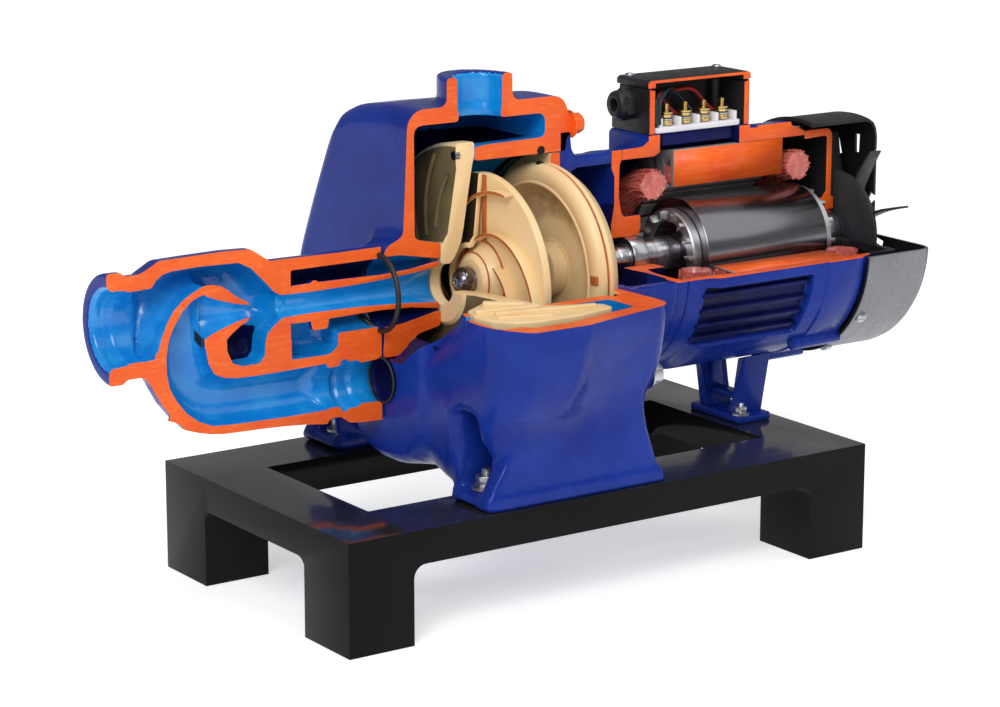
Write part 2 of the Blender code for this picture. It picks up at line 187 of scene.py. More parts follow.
def cut_paint(name, colour, deep, red, rough=0.38):
    """Paint laid by brush on a sawn face: strokes along the work, with redder and yellower patches."""
    n = Nodes(name)
    strokes = n.noise(1.0, 4.0, 0.65, n.scaled((60, 200, 420), (0, radians(12), 0)))
    cross = n.noise(1.0, 3.0, 0.6, n.scaled((300, 200, 70), (0, radians(-20), 0)))
    patch = n.noise(22.0, 3.0, 0.55)
    base = n.mix(n.span(patch, 0.35, 0.68), colour, deep)
    base = n.mix(n.span(n.noise(47.0, 2.0), 0.52, 0.72, 0.0, 0.55), base, red)
    base = n.mix(n.span(strokes, 0.5, 0.72, 0.0, 0.22), base, linear(255, 170, 95))
    n.link(base, n.shader.inputs["Base Color"])
    n.link(n.span(cross, 0.3, 0.7, rough * 0.8, rough * 1.3), n.shader.inputs["Roughness"])
    n.set(Coat_Weight=0.1, Coat_Roughness=0.2, Specular_IOR_Level=0.3)
    n.bump((strokes, 0.3, 0.0003), (cross, 0.18, 0.0003), (n.noise(900.0, 2.0), 0.1, 0.0001))
    return n.mat


def cream_paint(name):
    n = Nodes(name)
    patch = n.noise(20.0, 3.0)
    base = n.mix(n.span(patch, 0.3, 0.7), linear(242, 212, 162), linear(232, 198, 144))
    base = n.mix(n.span(n.noise(64.0, 4.0, 0.6), 0.5, 0.8, 0.0, 0.5), base, linear(240, 214, 172))
    geo = n.new("ShaderNodeNewGeometry").outputs["Pointiness"]
    # browner in the hollows: partly dirt, partly painted shade
    base = n.mix(n.math("MULTIPLY", n.span(geo, 0.49, 0.44, 0.0, 0.8), n.span(n.noise(120.0, 3.0), 0.3, 0.6)), base, linear(150, 92, 45))
    n.link(base, n.shader.inputs["Base Color"])
    n.link(n.span(n.noise(300.0, 3.0), 0.3, 0.7, 0.3, 0.5), n.shader.inputs["Roughness"])
    n.set(Coat_Weight=0.15, Coat_Roughness=0.18, Specular_IOR_Level=0.35)
    n.bump((n.noise(130.0, 4.0, 0.6), 0.25, 0.0005), (n.noise(700.0, 2.0), 0.12, 0.0001))
    return n.mat


def line_paint(name):
    """The thin brown-orange line painted along the vane edges and rims."""
    n = Nodes(name)
    base = n.mix(n.span(n.noise(90.0, 3.0), 0.3, 0.7), linear(196, 108, 52), linear(150, 78, 34))
    n.link(base, n.shader.inputs["Base Color"])
    n.link(n.span(n.noise(400.0, 3.0), 0.3, 0.7, 0.35, 0.55), n.shader.inputs["Roughness"])
    n.bump((n.noise(500.0, 3.0), 0.2, 0.0002),)
    return n.mat


def black_gloss(name, shine=0.06, coat=0.04, depth=1.0):
    """The stand's black lacquer: nearly a mirror on top, with dust and hairline scratches; depth above 1 lightens the
    colour as painted light.
    """
    n = Nodes(name)
    dust = n.span(n.noise(900.0, 2.0), 0.66, 0.74, 0.0, 1.0)
    scratch = n.span(n.noise(1.0, 5.0, 0.7, n.scaled((14, 900, 300), (0, 0, radians(23)))), 0.66, 0.72, 0.0, 1.0)
    # depth multiplies the colour; above 1 it is painted light
    base = n.mix(n.span(n.noise(6.0, 2.0), 0.3, 0.7), tuple(c * depth for c in linear(12, 12, 13)[:3]), tuple(c * depth for c in linear(19, 18, 19)[:3]))
    base = n.mix(n.math("MULTIPLY", dust, 0.07), base, linear(150, 148, 145))
    n.link(base, n.shader.inputs["Base Color"])
    n.link(n.math("ADD", n.span(n.noise(30.0, 4.0), 0.3, 0.75, 0.10, 0.24), n.math("MULTIPLY", scratch, 0.2)), n.shader.inputs["Roughness"])
    n.set(Coat_Weight=coat, Coat_Roughness=0.05, IOR=1.5, Specular_IOR_Level=shine)
    n.bump((n.noise(24.0, 2.0), 0.1, 0.0004), (n.noise(800.0, 2.0), 0.05, 0.0001))
    return n.mat


def turned_metal(name, colour, dark, rough=0.25, rings=2200.0, by="radius", metal=1.0):
    """Machined steel: fine tool marks round the shaft (by radius on faces, by X on cylinders)."""
    n = Nodes(name)
    where = n.radius() if by == "radius" else n.split()[0]
    line = n.new("ShaderNodeCombineXYZ")
    n.link(where, line.inputs["X"])
    marks = n.noise(rings, 3.0, 0.7, line.outputs["Vector"])
    wide = n.noise(rings / 9, 2.0, 0.5, line.outputs["Vector"])
    base = n.mix(n.span(wide, 0.3, 0.7), colour, dark)
    base = n.mix(n.span(n.noise(50.0, 4.0), 0.55, 0.8, 0.0, 0.5), base, dark)
    n.link(base, n.shader.inputs["Base Color"])
    n.link(n.span(marks, 0.3, 0.7, rough * 0.7, rough * 1.6), n.shader.inputs["Roughness"])
    n.set(Metallic=metal, Anisotropic=0.4)
    n.bump((marks, 0.12, 0.00006), (n.noise(600.0, 2.0), 0.05, 0.00005))
    return n.mat


def plastic(name, colour, light, rough=0.42, grain=900.0):
    n = Nodes(name)
    base = n.mix(n.span(n.noise(25.0, 3.0), 0.35, 0.7), colour, light)
    dust = n.span(n.noise(420.0, 4.0, 0.7), 0.62, 0.75, 0.0, 0.25)
    base = n.mix(dust, base, tuple(min(1.0, c * 2.2 + 0.03) for c in light))
    n.link(base, n.shader.inputs["Base Color"])
    n.link(n.span(n.noise(160.0, 3.0), 0.3, 0.7, rough * 0.8, rough * 1.25), n.shader.inputs["Roughness"])
    n.set(Specular_IOR_Level=0.3)
    n.bump((n.noise(grain, 2.0), 0.22, 0.0002), (n.noise(60.0, 2.0), 0.1, 0.0004))
    return n.mat


def sheet_grey(name):
    """Grey-painted pressed sheet, with a fine mottled texture."""
    n = Nodes(name)
    base = n.mix(n.span(n.noise(14.0, 3.0), 0.3, 0.7), linear(126, 127, 131), linear(112, 112, 118))
    base = n.mix(n.span(n.noise(330.0, 3.0), 0.58, 0.72, 0.0, 0.3), base, linear(160, 160, 164))
    geo = n.new("ShaderNodeNewGeometry").outputs["Pointiness"]
    base = n.mix(n.span(geo, 0.53, 0.6, 0.0, 0.5), base, linear(70, 70, 74))
    n.link(base, n.shader.inputs["Base Color"])
    n.link(n.span(n.noise(200.0, 3.0), 0.3, 0.7, 0.34, 0.52), n.shader.inputs["Roughness"])
    n.set(Metallic=0.25)
    n.bump((n.noise(620.0, 2.0), 0.18, 0.00015), (n.noise(40.0, 2.0), 0.08, 0.0004))
    return n.mat


def laminated(name, colour, light, step=1.1, metal=1.0, rough=0.4, grain=0.1):
    """Stacked sheets seen edge-on: fine lines across the shaft."""
    n = Nodes(name)
    wave = n.new("ShaderNodeTexWave", wave_type="BANDS", bands_direction="X")
    wave.inputs["Scale"].default_value = 1000 / step / (2 * pi) * 2
    wave.inputs["Distortion"].default_value = 0.6
    wave.inputs["Detail"].default_value = 2.0
    n.link(n.coord, wave.inputs["Vector"])
    lines = wave.outputs["Fac"]
    base = n.mix(n.span(lines, 0.2, 0.8), colour, light)
    base = n.mix(n.span(n.noise(60.0, 4.0), 0.5, 0.8, 0.0, 0.5), base, colour)
    n.link(base, n.shader.inputs["Base Color"])
    n.link(n.span(n.noise(250.0, 3.0), 0.3, 0.7, rough * 0.9, rough * 1.15), n.shader.inputs["Roughness"])
    n.set(Metallic=metal)
    n.bump((lines, grain * 2.5, 0.0001), (n.noise(500.0, 2.0), grain, 0.0001))
    return n.mat


def wire_enamel(name):
    """Varnished winding wire."""
    n = Nodes(name)
    base = n.mix(n.span(n.noise(70.0, 4.0), 0.3, 0.7), linear(214, 108, 96), linear(186, 70, 62))
    base = n.mix(n.span(n.noise(240.0, 3.0), 0.5, 0.75, 0.0, 0.7), base, linear(238, 170, 150))
    n.link(base, n.shader.inputs["Base Color"])
    n.link(n.span(n.noise(200.0, 3.0), 0.3, 0.7, 0.2, 0.4), n.shader.inputs["Roughness"])
    n.set(Coat_Weight=0.5, Coat_Roughness=0.1)
    n.bump((n.noise(800.0, 3.0), 0.25, 0.0002),)
    return n.mat


def rubber(name):
    n = Nodes(name)
    base = n.mix(n.span(n.noise(60.0, 3.0), 0.3, 0.7), linear(20, 20, 21), linear(33, 32, 33))
    n.link(base, n.shader.inputs["Base Color"])
    n.link(n.span(n.noise(300.0, 3.0), 0.3, 0.7, 0.4, 0.6), n.shader.inputs["Roughness"])
    n.bump((n.noise(900.0, 3.0), 0.2, 0.0001),)
    return n.mat


BLUE = enamel("blue_enamel", linear(20, 48, 138), linear(15, 36, 120), linear(36, 66, 162), coat=0.05, rough=0.24)
# a darker copy of the blue enamel, laid on inner and hidden faces as painted shade
BLUE_PAINTED_SHADE = enamel("blue_enamel_painted_shade", linear(16, 22, 78), linear(9, 12, 50), linear(26, 38, 106), rough=0.35, coat=0.03, shine=0.08)
# the deeper blue it takes in the hollows is painted shade
CYAN = enamel("water_blue_enamel", linear(14, 146, 220), linear(6, 112, 194), linear(80, 190, 238), rough=0.2, coat=0.25, shine=0.35, cast=0.25, grime_and_shade=linear(12, 50, 120))
# near black for grooves and holes: painted shade
HOLE_SHADE = plastic("hole_painted_shade", linear(10, 12, 16), linear(16, 18, 24), rough=0.6)
ORANGE = cut_paint("cut_orange", linear(240, 100, 28), linear(224, 84, 18), linear(230, 70, 38))
CREAM = cream_paint("cream_enamel")
LINE = line_paint("outline_brown")
GAP = plastic("cream_in_deep_shade", linear(34, 27, 18), linear(52, 42, 28), rough=0.6)
SHADE = plastic("cream_in_shade", linear(96, 82, 54), linear(128, 110, 74), rough=0.55)
LACQUER = black_gloss("stand_lacquer")
# the top lacquer: glossier, with its colour lightened fourfold as painted light
TOP_LACQUER_PAINTED_LIGHT = black_gloss("stand_lacquer_top_painted_light", 0.45, 0.4, 4.0)
STEEL = turned_metal("turned_steel", (0.66, 0.66, 0.69), (0.42, 0.41, 0.44), by="x")
FACED = turned_metal("faced_steel", (0.62, 0.62, 0.65), (0.36, 0.35, 0.38), by="radius")
DARK_STEEL = turned_metal("dark_steel", (0.32, 0.31, 0.34), (0.13, 0.12, 0.14), rough=0.22, by="radius")
ZINC = turned_metal("zinc_bolt", (0.62, 0.63, 0.66), (0.35, 0.36, 0.4), rough=0.3, rings=900.0, by="radius")
CORE = laminated("stator_sheets", (0.30, 0.30, 0.31), (0.52, 0.52, 0.54), metal=0.35)
# a lighter copy of the stator sheets for the bore, as painted light
BORE_PAINTED_LIGHT = laminated("stator_bore_painted_light", (0.62, 0.62, 0.63), (0.86, 0.86, 0.87), metal=0.0, rough=0.35)
ROTOR_SKIN = laminated("rotor_sheets", (0.2, 0.195, 0.21), (0.25, 0.24, 0.26), rough=0.2, grain=0.02)
ALU = turned_metal("cast_aluminium", (0.72, 0.72, 0.74), (0.5, 0.5, 0.52), rough=0.34, rings=500.0, by="radius")
WIRE = wire_enamel("winding_varnish")
BLACK = plastic("black_moulding", linear(24, 24, 27), linear(36, 36, 40))
FAN_GREY = plastic("fan_moulding", linear(40, 42, 45), linear(56, 58, 62), rough=0.5)
GREY = sheet_grey("cover_grey")
# near black for the inside of the fan cover: painted shade
COVER_INSIDE_SHADE = plastic("cover_inside_painted_shade", linear(16, 16, 18), linear(24, 24, 26), rough=0.55)
WHITE = plastic("terminal_white", linear(232, 232, 236), linear(216, 216, 222), rough=0.35)
BRASS = turned_metal("bright_brass", (0.78, 0.58, 0.25), (0.52, 0.36, 0.14), rough=0.22, rings=1500.0, by="radius")
RUBBER = rubber("black_rubber")
RED_LEAD = plastic("lead_red", linear(170, 36, 30), linear(190, 52, 42), rough=0.35)
DARK_LEAD = plastic("lead_dark", linear(26, 40, 44), linear(38, 54, 58), rough=0.35)


# ============================================================== mesh helpers
def new_object(name, verts_mm, faces, mats, angle=32):
    """A mesh object from design-space points, shaded smooth with sharp edges by angle."""
    data = bpy.data.meshes.new(name)
    v = (np.asarray(verts_mm, float).reshape(-1, 3) + [-MID_X, 0, AXIS_Z]) / 1000
    data.from_pydata(v.tolist(), [], faces.tolist() if hasattr(faces, "tolist") else faces)
    data.validate()
    data.update()
    made = bpy.data.objects.new(name, data)
    bpy.context.scene.collection.objects.link(made)
    for mat in mats if isinstance(mats, (list, tuple)) else [mats]:
        data.materials.append(mat)
    shade(made, angle)
    return made


def shade(obj, angle=32):
    obj.data.shade_smooth()
    obj.data.set_sharp_from_angle(angle=radians(angle))


def outward(obj):
    bm = bmesh.new()
    bm.from_mesh(obj.data)
    bmesh.ops.recalc_face_normals(bm, faces=bm.faces)
    bm.to_mesh(obj.data)
    bm.free()
    return obj


def evaluated(obj):
    """Replaces the object's mesh by what its modifiers make of it."""
    bpy.context.view_layer.update()
    graph = bpy.context.evaluated_depsgraph_get()
    result = bpy.data.meshes.new_from_object(obj.evaluated_get(graph))
    before = obj.data
    obj.modifiers.clear()
    obj.data = result
    result.name = obj.name
    bpy.data.meshes.remove(before)
    return obj


def boolean(obj, tool, how="DIFFERENCE", keep=False, solver="MANIFOLD"):
    count = len(obj.data.polygons)
    step = obj.modifiers.new(how, "BOOLEAN")
    step.operation, step.solver, step.object = how, solver, tool
    evaluated(obj)
    if not len(obj.data.polygons):
        print("EMPTY after boolean", obj.name)
    if not keep:
        bpy.data.objects.remove(tool, do_unlink=True)
    return obj


def bevelled(obj, width, segments=2, angle=32, mats=None):
    """Rounds the sharp edges by a width in mm."""
    step = obj.modifiers.new("round", "BEVEL")
    step.width = width / 1000
    step.segments = segments
    step.limit_method = "ANGLE"
    step.angle_limit = radians(angle)
    step.harden_normals = False
    step.use_clamp_overlap = True
    evaluated(obj)
    shade(obj, 40)
    return obj


def merged(name, objects):
    """Joins objects into one mesh object, keeping each one's materials."""
    bm = bmesh.new()
    mats = []
    for obj in objects:
        table = []
        for mat in obj.data.materials:
            if mat not in mats:
                mats.append(mat)
            table.append(mats.index(mat))
        count = len(bm.faces)
        bm.from_mesh(obj.data)
        bm.faces.ensure_lookup_table()
        for face in bm.faces[count:]:
            face.material_index = table[face.material_index] if table else 0
    data = bpy.data.meshes.new(name)
    bm.to_mesh(data)
    bm.free()
    for obj in objects:
        bpy.data.objects.remove(obj, do_unlink=True)
    made = bpy.data.objects.new(name, data)
    bpy.context.scene.collection.objects.link(made)
    for mat in mats:
        data.materials.append(mat)
    shade(made, 40)
    return made


def prism(name, outline, low, high, place, mats):
    n = len(outline)
    verts = [place(a, b, low) for a, b in outline] + [place(a, b, high) for a, b in outline]
    faces = [list(range(n)), list(range(2 * n - 1, n - 1, -1))]
    faces += [[i, (i + 1) % n, n + (i + 1) % n, n + i] for i in range(n)]
    return outward(new_object(name, verts, faces, mats))


def side(name, outline, y0, y1, mats=None):
    return prism(name, outline, y0, y1, lambda a, b, c: (a, c, b), mats or [])


def across(name, outline, x0, x1, mats=None):
    return prism(name, outline, x0, x1, lambda a, b, c: (c, a, b), mats or [])


def plan(name, outline, z0, z1, mats=None):
    return prism(name, outline, z0, z1, lambda a, b, c: (a, b, c), mats or [])


def block(name, x0, x1, y0, y1, z0, z1, mats=None):
    return side(name, [(x0, z0), (x1, z0), (x1, z1), (x0, z1)], y0, y1, mats)


def arc_points(cx, cy, r, a0, a1, steps):
    return [(cx + r * cos(radians(a0 + (a1 - a0) * i / steps)), cy + r * sin(radians(a0 + (a1 - a0) * i / steps))) for i in range(steps + 1)]


def rounded(outline, r, steps=4):
    """Rounds each corner of an outline by a radius, less where the sides are short."""
    done = []
    n = len(outline)
    for i in range(n):
        a, b, c = (np.array(outline[(i + k) % n], float) for k in (-1, 0, 1))
        u, v = a - b, c - b
        lu, lv = np.linalg.norm(u), np.linalg.norm(v)
        if lu < 1e-6 or lv < 1e-6:
            continue
        u, v = u / lu, v / lv
        half = acos(max(-1, min(1, float(u @ v)))) / 2
        rr = r[i] if hasattr(r, "__len__") else r
        if rr <= 0 or half > radians(88):
            done.append(tuple(b))
            continue
        cutback = min(rr / max(np.tan(half), 1e-3), 0.45 * lu, 0.45 * lv)
        p, q = b + u * cutback, b + v * cutback
        for k in range(steps + 1):
            t = k / steps
            done.append(tuple((1 - t) ** 2 * p + 2 * t * (1 - t) * b + t * t * q))
    return done


def lathe(name, profile, mats=None, steps=96, y=0.0, z=0.0, start=0.0, sweep=360.0, phase=0.5):
    """A closed profile of (x, radius) turned about a line along X; a part turn gets flat ends.
    Angle 0 is the visitor's side and 90 is up."""
    full = sweep >= 359.9
    count = steps if full else steps + 1
    m = len(profile)
    verts, faces = [], []
    for k in range(count):
        a = radians(start + sweep * (k + (phase if full else 0)) / steps)
        verts += [(px, y - r * cos(a), z + r * sin(a)) for px, r in profile]
    for k in range(steps if full else steps):
        k2 = (k + 1) % count
        for i in range(m):
            j = (i + 1) % m
            if profile[i][1] < 1e-6 and profile[j][1] < 1e-6:
                continue
            faces.append([k * m + i, k * m + j, k2 * m + j, k2 * m + i])
    if not full:
        faces += [list(range(m)), [(count - 1) * m + i for i in range(m - 1, -1, -1)]]
    made = new_object(name, verts, faces, mats or [])
    bm = bmesh.new()
    bm.from_mesh(made.data)
    bmesh.ops.remove_doubles(bm, verts=bm.verts, dist=1e-6)
    bmesh.ops.recalc_face_normals(bm, faces=bm.faces)
    bm.to_mesh(made.data)
    bm.free()
    shade(made)
    return made


def lathe_up(name, profile, x, y, mats=None, steps=32):
    """A closed profile of (radius, z) turned about a vertical line."""
    m = len(profile)
    verts, faces = [], []
    for k in range(steps):
        a = 2 * pi * (k + 0.5) / steps
        verts += [(x + r * cos(a), y + r * sin(a), pz) for r, pz in profile]
    for k in range(steps):
        k2 = (k + 1) % steps
        for i in range(m):
            j = (i + 1) % m
            if profile[i][0] < 1e-6 and profile[j][0] < 1e-6:
                continue
            faces.append([k * m + i, k * m + j, k2 * m + j, k2 * m + i])
    made = new_object(name, verts, faces, mats or [])
    bm = bmesh.new()
    bm.from_mesh(made.data)
    bmesh.ops.remove_doubles(bm, verts=bm.verts, dist=1e-6)
    bmesh.ops.recalc_face_normals(bm, faces=bm.faces)
    bm.to_mesh(made.data)
    bm.free()
    shade(made)
    return made


def tube(name, points, radius, mats, sides=10, closed=False):
    """A round bar along a smooth path of design-space points."""
    p = [Vector(q) for q in points]
    fine = []
    n = len(p)
    for i in range(n if closed else n - 1):
        a, b, c, d = (p[(i + k) % n] if closed else p[max(0, min(n - 1, i + k))] for k in (-1, 0, 1, 2))
        for s in range(6):
            t = s / 6
            fine.append(0.5 * ((2 * b) + (c - a) * t + (2 * a - 5 * b + 4 * c - d) * t * t + (3 * b - a - 3 * c + d) * t ** 3))
    if not closed:
        fine.append(p[-1])
    verts, faces = [], []
    normal = None
    m = len(fine)
    for i, q in enumerate(fine):
        ahead = fine[(i + 1) % m] if closed or i < m - 1 else q
        behind = fine[i - 1] if closed or i > 0 else q
        t = (ahead - behind).normalized()
        if normal is None:
            normal = t.orthogonal().normalized()
        normal = (normal - t * normal.dot(t)).normalized()
        other = t.cross(normal)
        for k in range(sides):
            a = 2 * pi * k / sides
            verts.append(tuple(q + (normal * cos(a) + other * sin(a)) * radius))
    for i in range(m if closed else m - 1):
        j = (i + 1) % m
        for k in range(sides):
            k2 = (k + 1) % sides
            faces.append([i * sides + k, i * sides + k2, j * sides + k2, j * sides + k])
    if not closed:
        faces += [list(range(sides))[::-1], [(m - 1) * sides + k for k in range(sides)]]
    return outward(new_object(name, verts, faces, mats, 60))


def paint_where(obj, rule):
    """Sets each face's material index from its centre and normal (N x 3 arrays, centres in design mm)."""
    n = len(obj.data.polygons)
    c, nor = np.zeros(n * 3), np.zeros(n * 3)
    obj.data.polygons.foreach_get("center", c)
    obj.data.polygons.foreach_get("normal", nor)
    c = c.reshape(-1, 3) * 1000 + [MID_X, 0, -AXIS_Z]
    found = np.asarray(rule(c, nor.reshape(-1, 3)), np.int32)
    obj.data.polygons.foreach_set("material_index", found)
    obj.data.update()


def on_plane(c, n, axis, value, tol=0.05):
    return (np.abs(c[:, axis] - value) < tol) & (np.abs(n[:, axis]) > 0.999)


def open_quarter(obj, y=0.0, z=CUT_Z):
    return boolean(obj, block("cutter", -250, 750, -400, y, z, 400))


# ======================================================= shapes from distances
def poly(A, B, outline):
    """Signed distance of the points (A, B) to a closed outline, negative inside."""
    pts = np.asarray(outline, np.float32)
    shape = np.broadcast(A, B).shape
    best = np.full(shape, 1e12, np.float32)
    sign = np.ones(shape, bool)
    for i in range(len(pts)):
        a, b = pts[i], pts[i - 1]
        e = b - a
        wx, wy = A - a[0], B - a[1]
        t = np.clip((wx * e[0] + wy * e[1]) / max(float(e @ e), 1e-9), 0, 1)
        best = np.minimum(best, (wx - e[0] * t) ** 2 + (wy - e[1] * t) ** 2)
        c1, c2, c3 = B >= a[1], B < b[1], e[0] * wy > e[1] * wx
        flip = (c1 & c2 & c3) | (~c1 & ~c2 & ~c3)
        sign = sign ^ flip
    return np.where(sign, 1, -1).astype(np.float32) * np.sqrt(best)


def softened(outline, rounds=2, weight=0.22):
    """Corner cutting, for cast outlines."""
    pts = [np.array(p, float) for p in outline]
    for _ in range(rounds):
        pts = [q for i in range(len(pts)) for q in (
            pts[i] * (1 - weight) + pts[i - 1] * weight,
            pts[i] * (1 - weight) + pts[(i + 1) % len(pts)] * weight,
        )]
    return pts


def capped(d2, along, r):
    """A flat shape's distance and the distance along its depth, with rounded rims."""
    a, b = d2 + r, along + r
    return np.minimum(np.maximum(a, b), 0) + np.sqrt(np.maximum(a, 0) ** 2 + np.maximum(b, 0) ** 2) - r


def join(a, b, k=0.0):
    if k <= 0:
        return np.minimum(a, b)
    h = np.maximum(k - np.abs(a - b), 0) / k
    return np.minimum(a, b) - h * h * k / 4


def less(a, b, k=0.0):
    return -join(-a, b, k)


class Grid:
    def __init__(self, low, high, step):
        self.low, self.step = np.array(low, np.float32), step
        counts = [int(np.ceil((high[i] - low[i]) / step)) + 1 for i in range(3)]
        x, y, z = ((low[i] + step * np.arange(counts[i])).astype(np.float32) for i in range(3))
        self.x, self.y, self.z = x[:, None, None], y[None, :, None], z[None, None, :]

    def side(self, outline, y0, y1, r=0.0):
        d2 = poly(self.x[:, :, 0], self.z[0], outline)[:, None, :]
        return capped(d2, np.abs(self.y - (y0 + y1) / 2) - (y1 - y0) / 2, r)

    def across(self, outline, x0, x1, r=0.0):
        d2 = poly(self.y[0], self.z[0], outline)[None]
        return capped(d2, np.abs(self.x - (x0 + x1) / 2) - (x1 - x0) / 2, r)

    def plan(self, outline, z0, z1, r=0.0):
        d2 = poly(self.x[:, :, 0], self.y[0].T, outline)[:, :, None]
        return capped(d2, np.abs(self.z - (z0 + z1) / 2) - (z1 - z0) / 2, r)

    def lathe(self, profile, y=0.0, z=0.0):
        """Turned about a line along X. A profile that touches the axis is mirrored first."""
        outline = list(profile)
        if min(r for _, r in profile) < 1e-6:
            outer = [p for p in profile if p[1] > 1e-6]
            outline = outer + [(a, -b) for a, b in reversed(outer)]
        radius = np.sqrt((self.y - y) ** 2 + (self.z - z) ** 2)[0]
        fine = np.arange(0, float(radius.max()) + 1, 0.5, dtype=np.float32)
        table = poly(self.x[:, :, 0], fine[None, :], outline)
        where = radius / 0.5
        base = np.minimum(where.astype(int), len(fine) - 2)
        part = (where - base).astype(np.float32)
        return table[:, base] * (1 - part) + table[:, base + 1] * part

    def lathe_up(self, profile, x, y, flat=1.0):
        outline = list(profile)
        if min(r for r, _ in profile) < 1e-6:
            outer = [p for p in profile if p[0] > 1e-6]
            outline = outer + [(-a, b) for a, b in reversed(outer)]
        radius = np.sqrt((self.x - x) ** 2 + ((self.y - y) * flat) ** 2)[:, :, 0]
        fine = np.arange(0, float(radius.max()) + 1, 0.5, dtype=np.float32)
        table = poly(fine[:, None], self.z[0], outline)
        where = radius / 0.5
        base = np.minimum(where.astype(int), len(fine) - 2)
        part = (where - base).astype(np.float32)[:, :, None]
        return table[base] * (1 - part) + table[base + 1] * part

    def sample(self, field, points):
        q = (points - self.low) / self.step
        top = np.array(field.shape) - 2
        i = np.clip(np.floor(q).astype(int), 0, top)
        f = np.clip(q - i, 0, 1)
        total = 0.0
        for dx in (0, 1):
            for dy in (0, 1):
                for dz in (0, 1):
                    weight = (f[:, 0] if dx else 1 - f[:, 0]) * (f[:, 1] if dy else 1 - f[:, 1]) * (f[:, 2] if dz else 1 - f[:, 2])
                    total = total + weight * field[i[:, 0] + dx, i[:, 1] + dy, i[:, 2] + dz]
        return total

    def skin(self, field):
        """The zero surface as quads: one point in each cell that the surface crosses."""
        inside = field < 0
        cells = tuple(n - 1 for n in field.shape)
        total = int(np.prod(cells))
        sums, hits, crossings = np.zeros((3, total)), np.zeros(total), []
        for axis in range(3):
            lo, hi = [slice(None)] * 3, [slice(None)] * 3
            lo[axis], hi[axis] = slice(0, -1), slice(1, None)
            a, b = field[tuple(lo)], field[tuple(hi)]
            cross = inside[tuple(lo)] != inside[tuple(hi)]
            index = np.argwhere(cross)
            t = a[cross] / (a[cross] - b[cross])
            spot = index.astype(np.float64)
            spot[:, axis] += t
            o1, o2 = (axis + 1) % 3, (axis + 2) % 3
            around = []
            for d1, d2 in ((0, 0), (-1, 0), (-1, -1), (0, -1)):
                c = index.copy()
                c[:, o1] += d1
                c[:, o2] += d2
                ok = (c >= 0).all(1) & (c < cells).all(1)
                flat = np.where(ok, np.ravel_multi_index(np.clip(c, 0, np.array(cells) - 1).T, cells), 0)
                hits += np.bincount(flat[ok], minlength=total)
                for k in range(3):
                    sums[k] += np.bincount(flat[ok], weights=spot[ok, k], minlength=total)
                around.append(np.where(ok, flat, -1))
            crossings.append((np.stack(around, 1), inside[tuple(lo)][cross]))
        active = np.flatnonzero(hits)
        label = np.full(total, -1)
        label[active] = np.arange(len(active))
        verts = (sums[:, active] / hits[active]).T * self.step + self.low
        faces = []
        for quad, filled in crossings:
            good = (quad >= 0).all(1)
            quad, filled = label[quad[good]], filled[good]
            faces.append(np.where(filled[:, None], quad, quad[:, ::-1]))
        faces = np.concatenate(faces)
        for _ in range(3):
            h = self.step * 0.5
            value = self.sample(field, verts)
            slope = np.stack([(self.sample(field, verts + h * e) - self.sample(field, verts - h * e)) / (2 * h) for e in np.eye(3)], 1)
            size = np.maximum((slope ** 2).sum(1), 0.05)
            move = -(value / size)[:, None] * slope
            length = np.linalg.norm(move, axis=1, keepdims=True)
            verts = verts + move * np.minimum(1, 0.4 * self.step / np.maximum(length, 1e-9))
        return verts, faces


def cast(name, grid, outer, inner, mats):
    """A casting from its outside and its hollows."""
    verts, faces = grid.skin(less(outer, inner, 2.0) if inner is not None else outer)
    made = new_object(name, verts, faces, mats, 50)
    return made


def dress_cast(obj, grid, outer, inner, planes, cut=2, extra=None):
    """0 outside, 1 in the hollows, cut where a section plane passes; planes are (axis, value)."""
    def rule(c, n):
        o = np.abs(grid.sample(outer, c))
        i = np.abs(grid.sample(inner, c)) if inner is not None else np.full(len(c), 1e9)
        index = np.where(i < o, 1, 0)
        if extra is not None:
            index = extra(c, n, index)
        for axis, value in planes:
            index[on_plane(c, n, axis, value)] = cut
        return index
    paint_where(obj, rule)


def mount(obj, body, slot, *nodes):
    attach(obj, body)
    if nodes:
        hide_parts(*nodes)
    return obj


def both(half):
    return half + [(-y, z) for y, z in reversed(half)]


# ==================================================================== ejector
LOW = -61.0
BODY_OUT = [
    (-77, 33), (-70, 37), (-65, 40), (-43, 40.8), (-17, 41.3), (1, 40.2), (9, 35.4), (16, 30.6), (30, 30.4), (70, 29.8), (112, 30.4),
    (112, -88), (88, -87.8), (77.5, -86), (71.5, -81.2), (1, -80.7), (-20, -80), (-39, -76), (-48.5, -72), (-58, -65), (-66, -55),
    (-71.6, -45), (-76, -35.6), (-79, -28),
]
CHAMBER = [
    (-78, 23.6), (-72, 23.7), (-68, 29), (-63, 32.2), (-57, 33.5), (-38, 34.3), (-7, 33.5), (2.5, 28.6), (12, 19), (20, 10.4), (25, 7.6),
    (25, -8.4), (19, -12.6), (14.4, -17), (12.7, -22), (11.8, -32), (7.6, -36.6), (-5.3, -36.8), (-12.7, -34), (-16.7, -25), (-16.8, -16.4),
    (-33.4, -16.4), (-33.4, 21), (-42, 17.2), (-49, 13.2), (-56, 6.8), (-61, -0.8), (-65, -10), (-68, -19), (-78, -24),
]
DRIVE = [
    (-33.2, 15.2), (-37, 14.2), (-42, 12.2), (-49.5, 6), (-56, -4), (-60, -12.5), (-62, -22.5), (-62, -35), (-60, -45), (-55, -54),
    (-48, -63), (-39, -70), (-28.5, -74.4), (-9, -75.6), (30, -76.3), (60, -76), (60, -43.8), (31, -44.4), (7, -44.6), (-10, -44.2),
    (-19, -42.8), (-26.6, -39.4), (-31, -31.5), (-33.2, -18.4),
]
g = Grid((-107, -6, -96), (109, 45, 46), 1.2)
